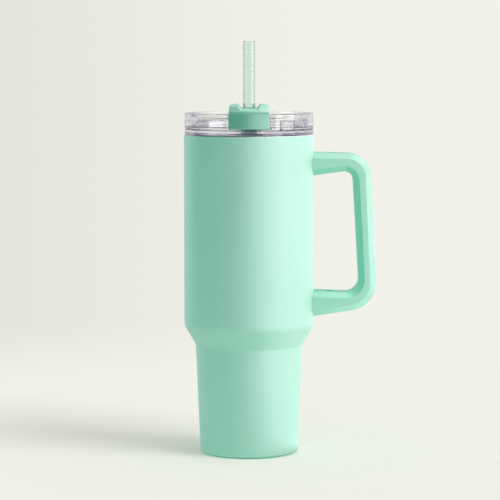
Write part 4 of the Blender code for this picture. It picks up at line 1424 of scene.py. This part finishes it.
@dataclass
class Studio:
    """Pale floor that fades into a pale backdrop, soft lamps and the camera."""

    backdrop_left: Colour = (0.783, 0.783, 0.723)
    backdrop_right: Colour = (0.885, 0.885, 0.820)
    backdrop_span: Span = (-0.13, 0.06)
    behind_span: Span = (0.2, 0.8)
    above_span: Span = (0.3, 0.9)
    ambient: Colour = (1.0, 0.995, 0.97)
    ambient_strength: float = 0.73
    floor_colour: Colour = (0.90, 0.90, 0.84)
    floor_radius: float = 3.0
    fade_span: Span = (0.33, 0.85)
    ring_distance: float = 1.1
    ring_height: float = 0.12
    ring_size: tuple[float, float] = (0.45, 0.9)
    ring_radiances: tuple[tuple[int, float], ...] = (
        (15, 2.2), (35, 2.0), (55, 4.3), (95, 5.5), (135, 4.8), (-135, 0.95))
    lens: float = 158.4
    sensor: float = 36.0
    camera_place: Place = (0.0007, -1.665, 0.3014)
    camera_tilt: float = 84.95

    def floor(self) -> bpy.types.Object:
        """Round floor that keeps the mug's shadow and turns clear towards its rim.

        Returns:
            The floor.
        """
        turn = np.linspace(0, 2 * np.pi, FINE_SEGMENTS, endpoint=False)
        rim = self.floor_radius * np.column_stack([np.cos(turn), np.sin(turn), np.zeros_like(turn)])
        mesh = bpy.data.meshes.new("studio_floor")
        mesh.from_pydata(rim.tolist(), [], [list(range(FINE_SEGMENTS))])
        floor = bpy.data.objects.new("studio_floor", mesh)
        bpy.context.scene.collection.objects.link(floor)
        floor.visible_diffuse = False
        material = bpy.data.materials.new("studio_floor")
        material.use_nodes = True
        mesh.materials.append(material)
        material.node_tree.nodes.clear()
        tree = Tree(material.node_tree)
        lit = tree.feed(tree.add("ShaderNodeBsdfDiffuse"), color=(*self.floor_colour, 1.0))
        unseen = tree.add("ShaderNodeBsdfTransparent")
        place = tree.add("ShaderNodeTexCoord").outputs["Object"]
        distance = tree.feed(tree.add("ShaderNodeVectorMath", operation="LENGTH"), in_0=place)
        fade = tree.ramp(distance.outputs["Value"], self.fade_span)
        tree.feed(tree.add("ShaderNodeOutputMaterial"),
                  surface=tree.blend(fade, lit.outputs[0], unseen.outputs[0]))
        return floor

    def world(self) -> None:
        """Even light all round, seen as a pale backdrop by the camera and through clear pieces.

        Gloss sees the backdrop behind the mug, a pale ceiling, and a dark room behind the camera.
        """
        world = bpy.data.worlds.new("studio_world")
        bpy.context.scene.world = world
        world.use_nodes = True
        world.node_tree.nodes.clear()
        tree = Tree(world.node_tree)
        path = tree.add("ShaderNodeLightPath").outputs
        direction = tree.add("ShaderNodeTexCoord").outputs["Generated"]
        way = tree.feed(tree.add("ShaderNodeSeparateXYZ"), in_0=direction).outputs
        pale = tree.mix(tree.ramp(way[0], self.backdrop_span), (*self.backdrop_left, 1.0),
                        (*self.backdrop_right, 1.0))
        pale_part = tree.math("MAXIMUM", tree.ramp(way[1], self.behind_span),
                              tree.ramp(way[2], self.above_span))
        light, gloss, seen = [
            tree.feed(tree.add("ShaderNodeBackground"), color=colour, strength=strength).outputs[0]
            for colour, strength in (
                ((*self.ambient, 1.0), self.ambient_strength), (pale, pale_part), (pale, 1.0))]
        lit = tree.blend(path["Is Glossy Ray"], light, gloss)
        clear = tree.math("MAXIMUM", path["Is Camera Ray"], path["Is Transmission Ray"])
        tree.feed(tree.add("ShaderNodeOutputWorld"), surface=tree.blend(clear, lit, seen))

    def ring_panel(self, azimuth: int, radiance: float) -> Panel:
        """Panel in the ring round the mug.

        Args:
            azimuth: Degrees from the camera's side towards the handle's.
            radiance: Light of the panel.

        Returns:
            The panel, not yet built.
        """
        way = math.radians(azimuth)
        across, back = self.ring_distance * math.sin(way), -self.ring_distance * math.cos(way)
        return Panel(f"panel_{azimuth}", (across, back, self.ring_height), self.ring_size, radiance)

    def lamps(self, floor: bpy.types.Object) -> None:
        """Key from the right on the floor alone, a weak fill on the mug, and panels that show as gloss.

        A ring of panels, a low one and two high ones are for the coated pieces. The grip's inside, the
        foot, the lid and the straw have panels of their own.

        Args:
            floor: Studio floor.
        """
        for sun in SUNS:
            sun.build(floor)
        for name in LID_PIECES:
            bpy.data.objects[name].visible_shadow = False
        for name in HANDLE_PIECES:
            bpy.data.objects[name].visible_glossy = False
        ring = [self.ring_panel(azimuth, radiance) for azimuth, radiance in self.ring_radiances]
        for panel in (*ring, *PANELS):
            panel.build()

    def camera(self) -> None:
        """Camera at the photograph's place: a long lens a little above the lid, tilted down."""
        lens = bpy.data.cameras.new("studio_camera")
        lens.lens = self.lens
        lens.sensor_width = self.sensor
        camera = bpy.data.objects.new("studio_camera", lens)
        camera.location = self.camera_place
        camera.rotation_euler = (math.radians(self.camera_tilt), 0.0, 0.0)
        bpy.context.scene.collection.objects.link(camera)
        bpy.context.scene.camera = camera

    def build(self) -> None:
        """Makes the studio."""
        floor = self.floor()
        self.world()
        self.lamps(floor)
        self.camera()
        bpy.context.scene.view_settings.view_transform = "Standard"


def main() -> None:
    """Builds the sub-assemblies in order, then the studio."""
    logging.basicConfig(level=logging.INFO, format="%(message)s")
    port = Port()
    for part in (MugBody(), Handle(), Lid(port), Cover(port), Straw(), Studio()):
        LOG.info("building %s", type(part).__name__)
        part.build()


if __name__ == "__main__":
    main()
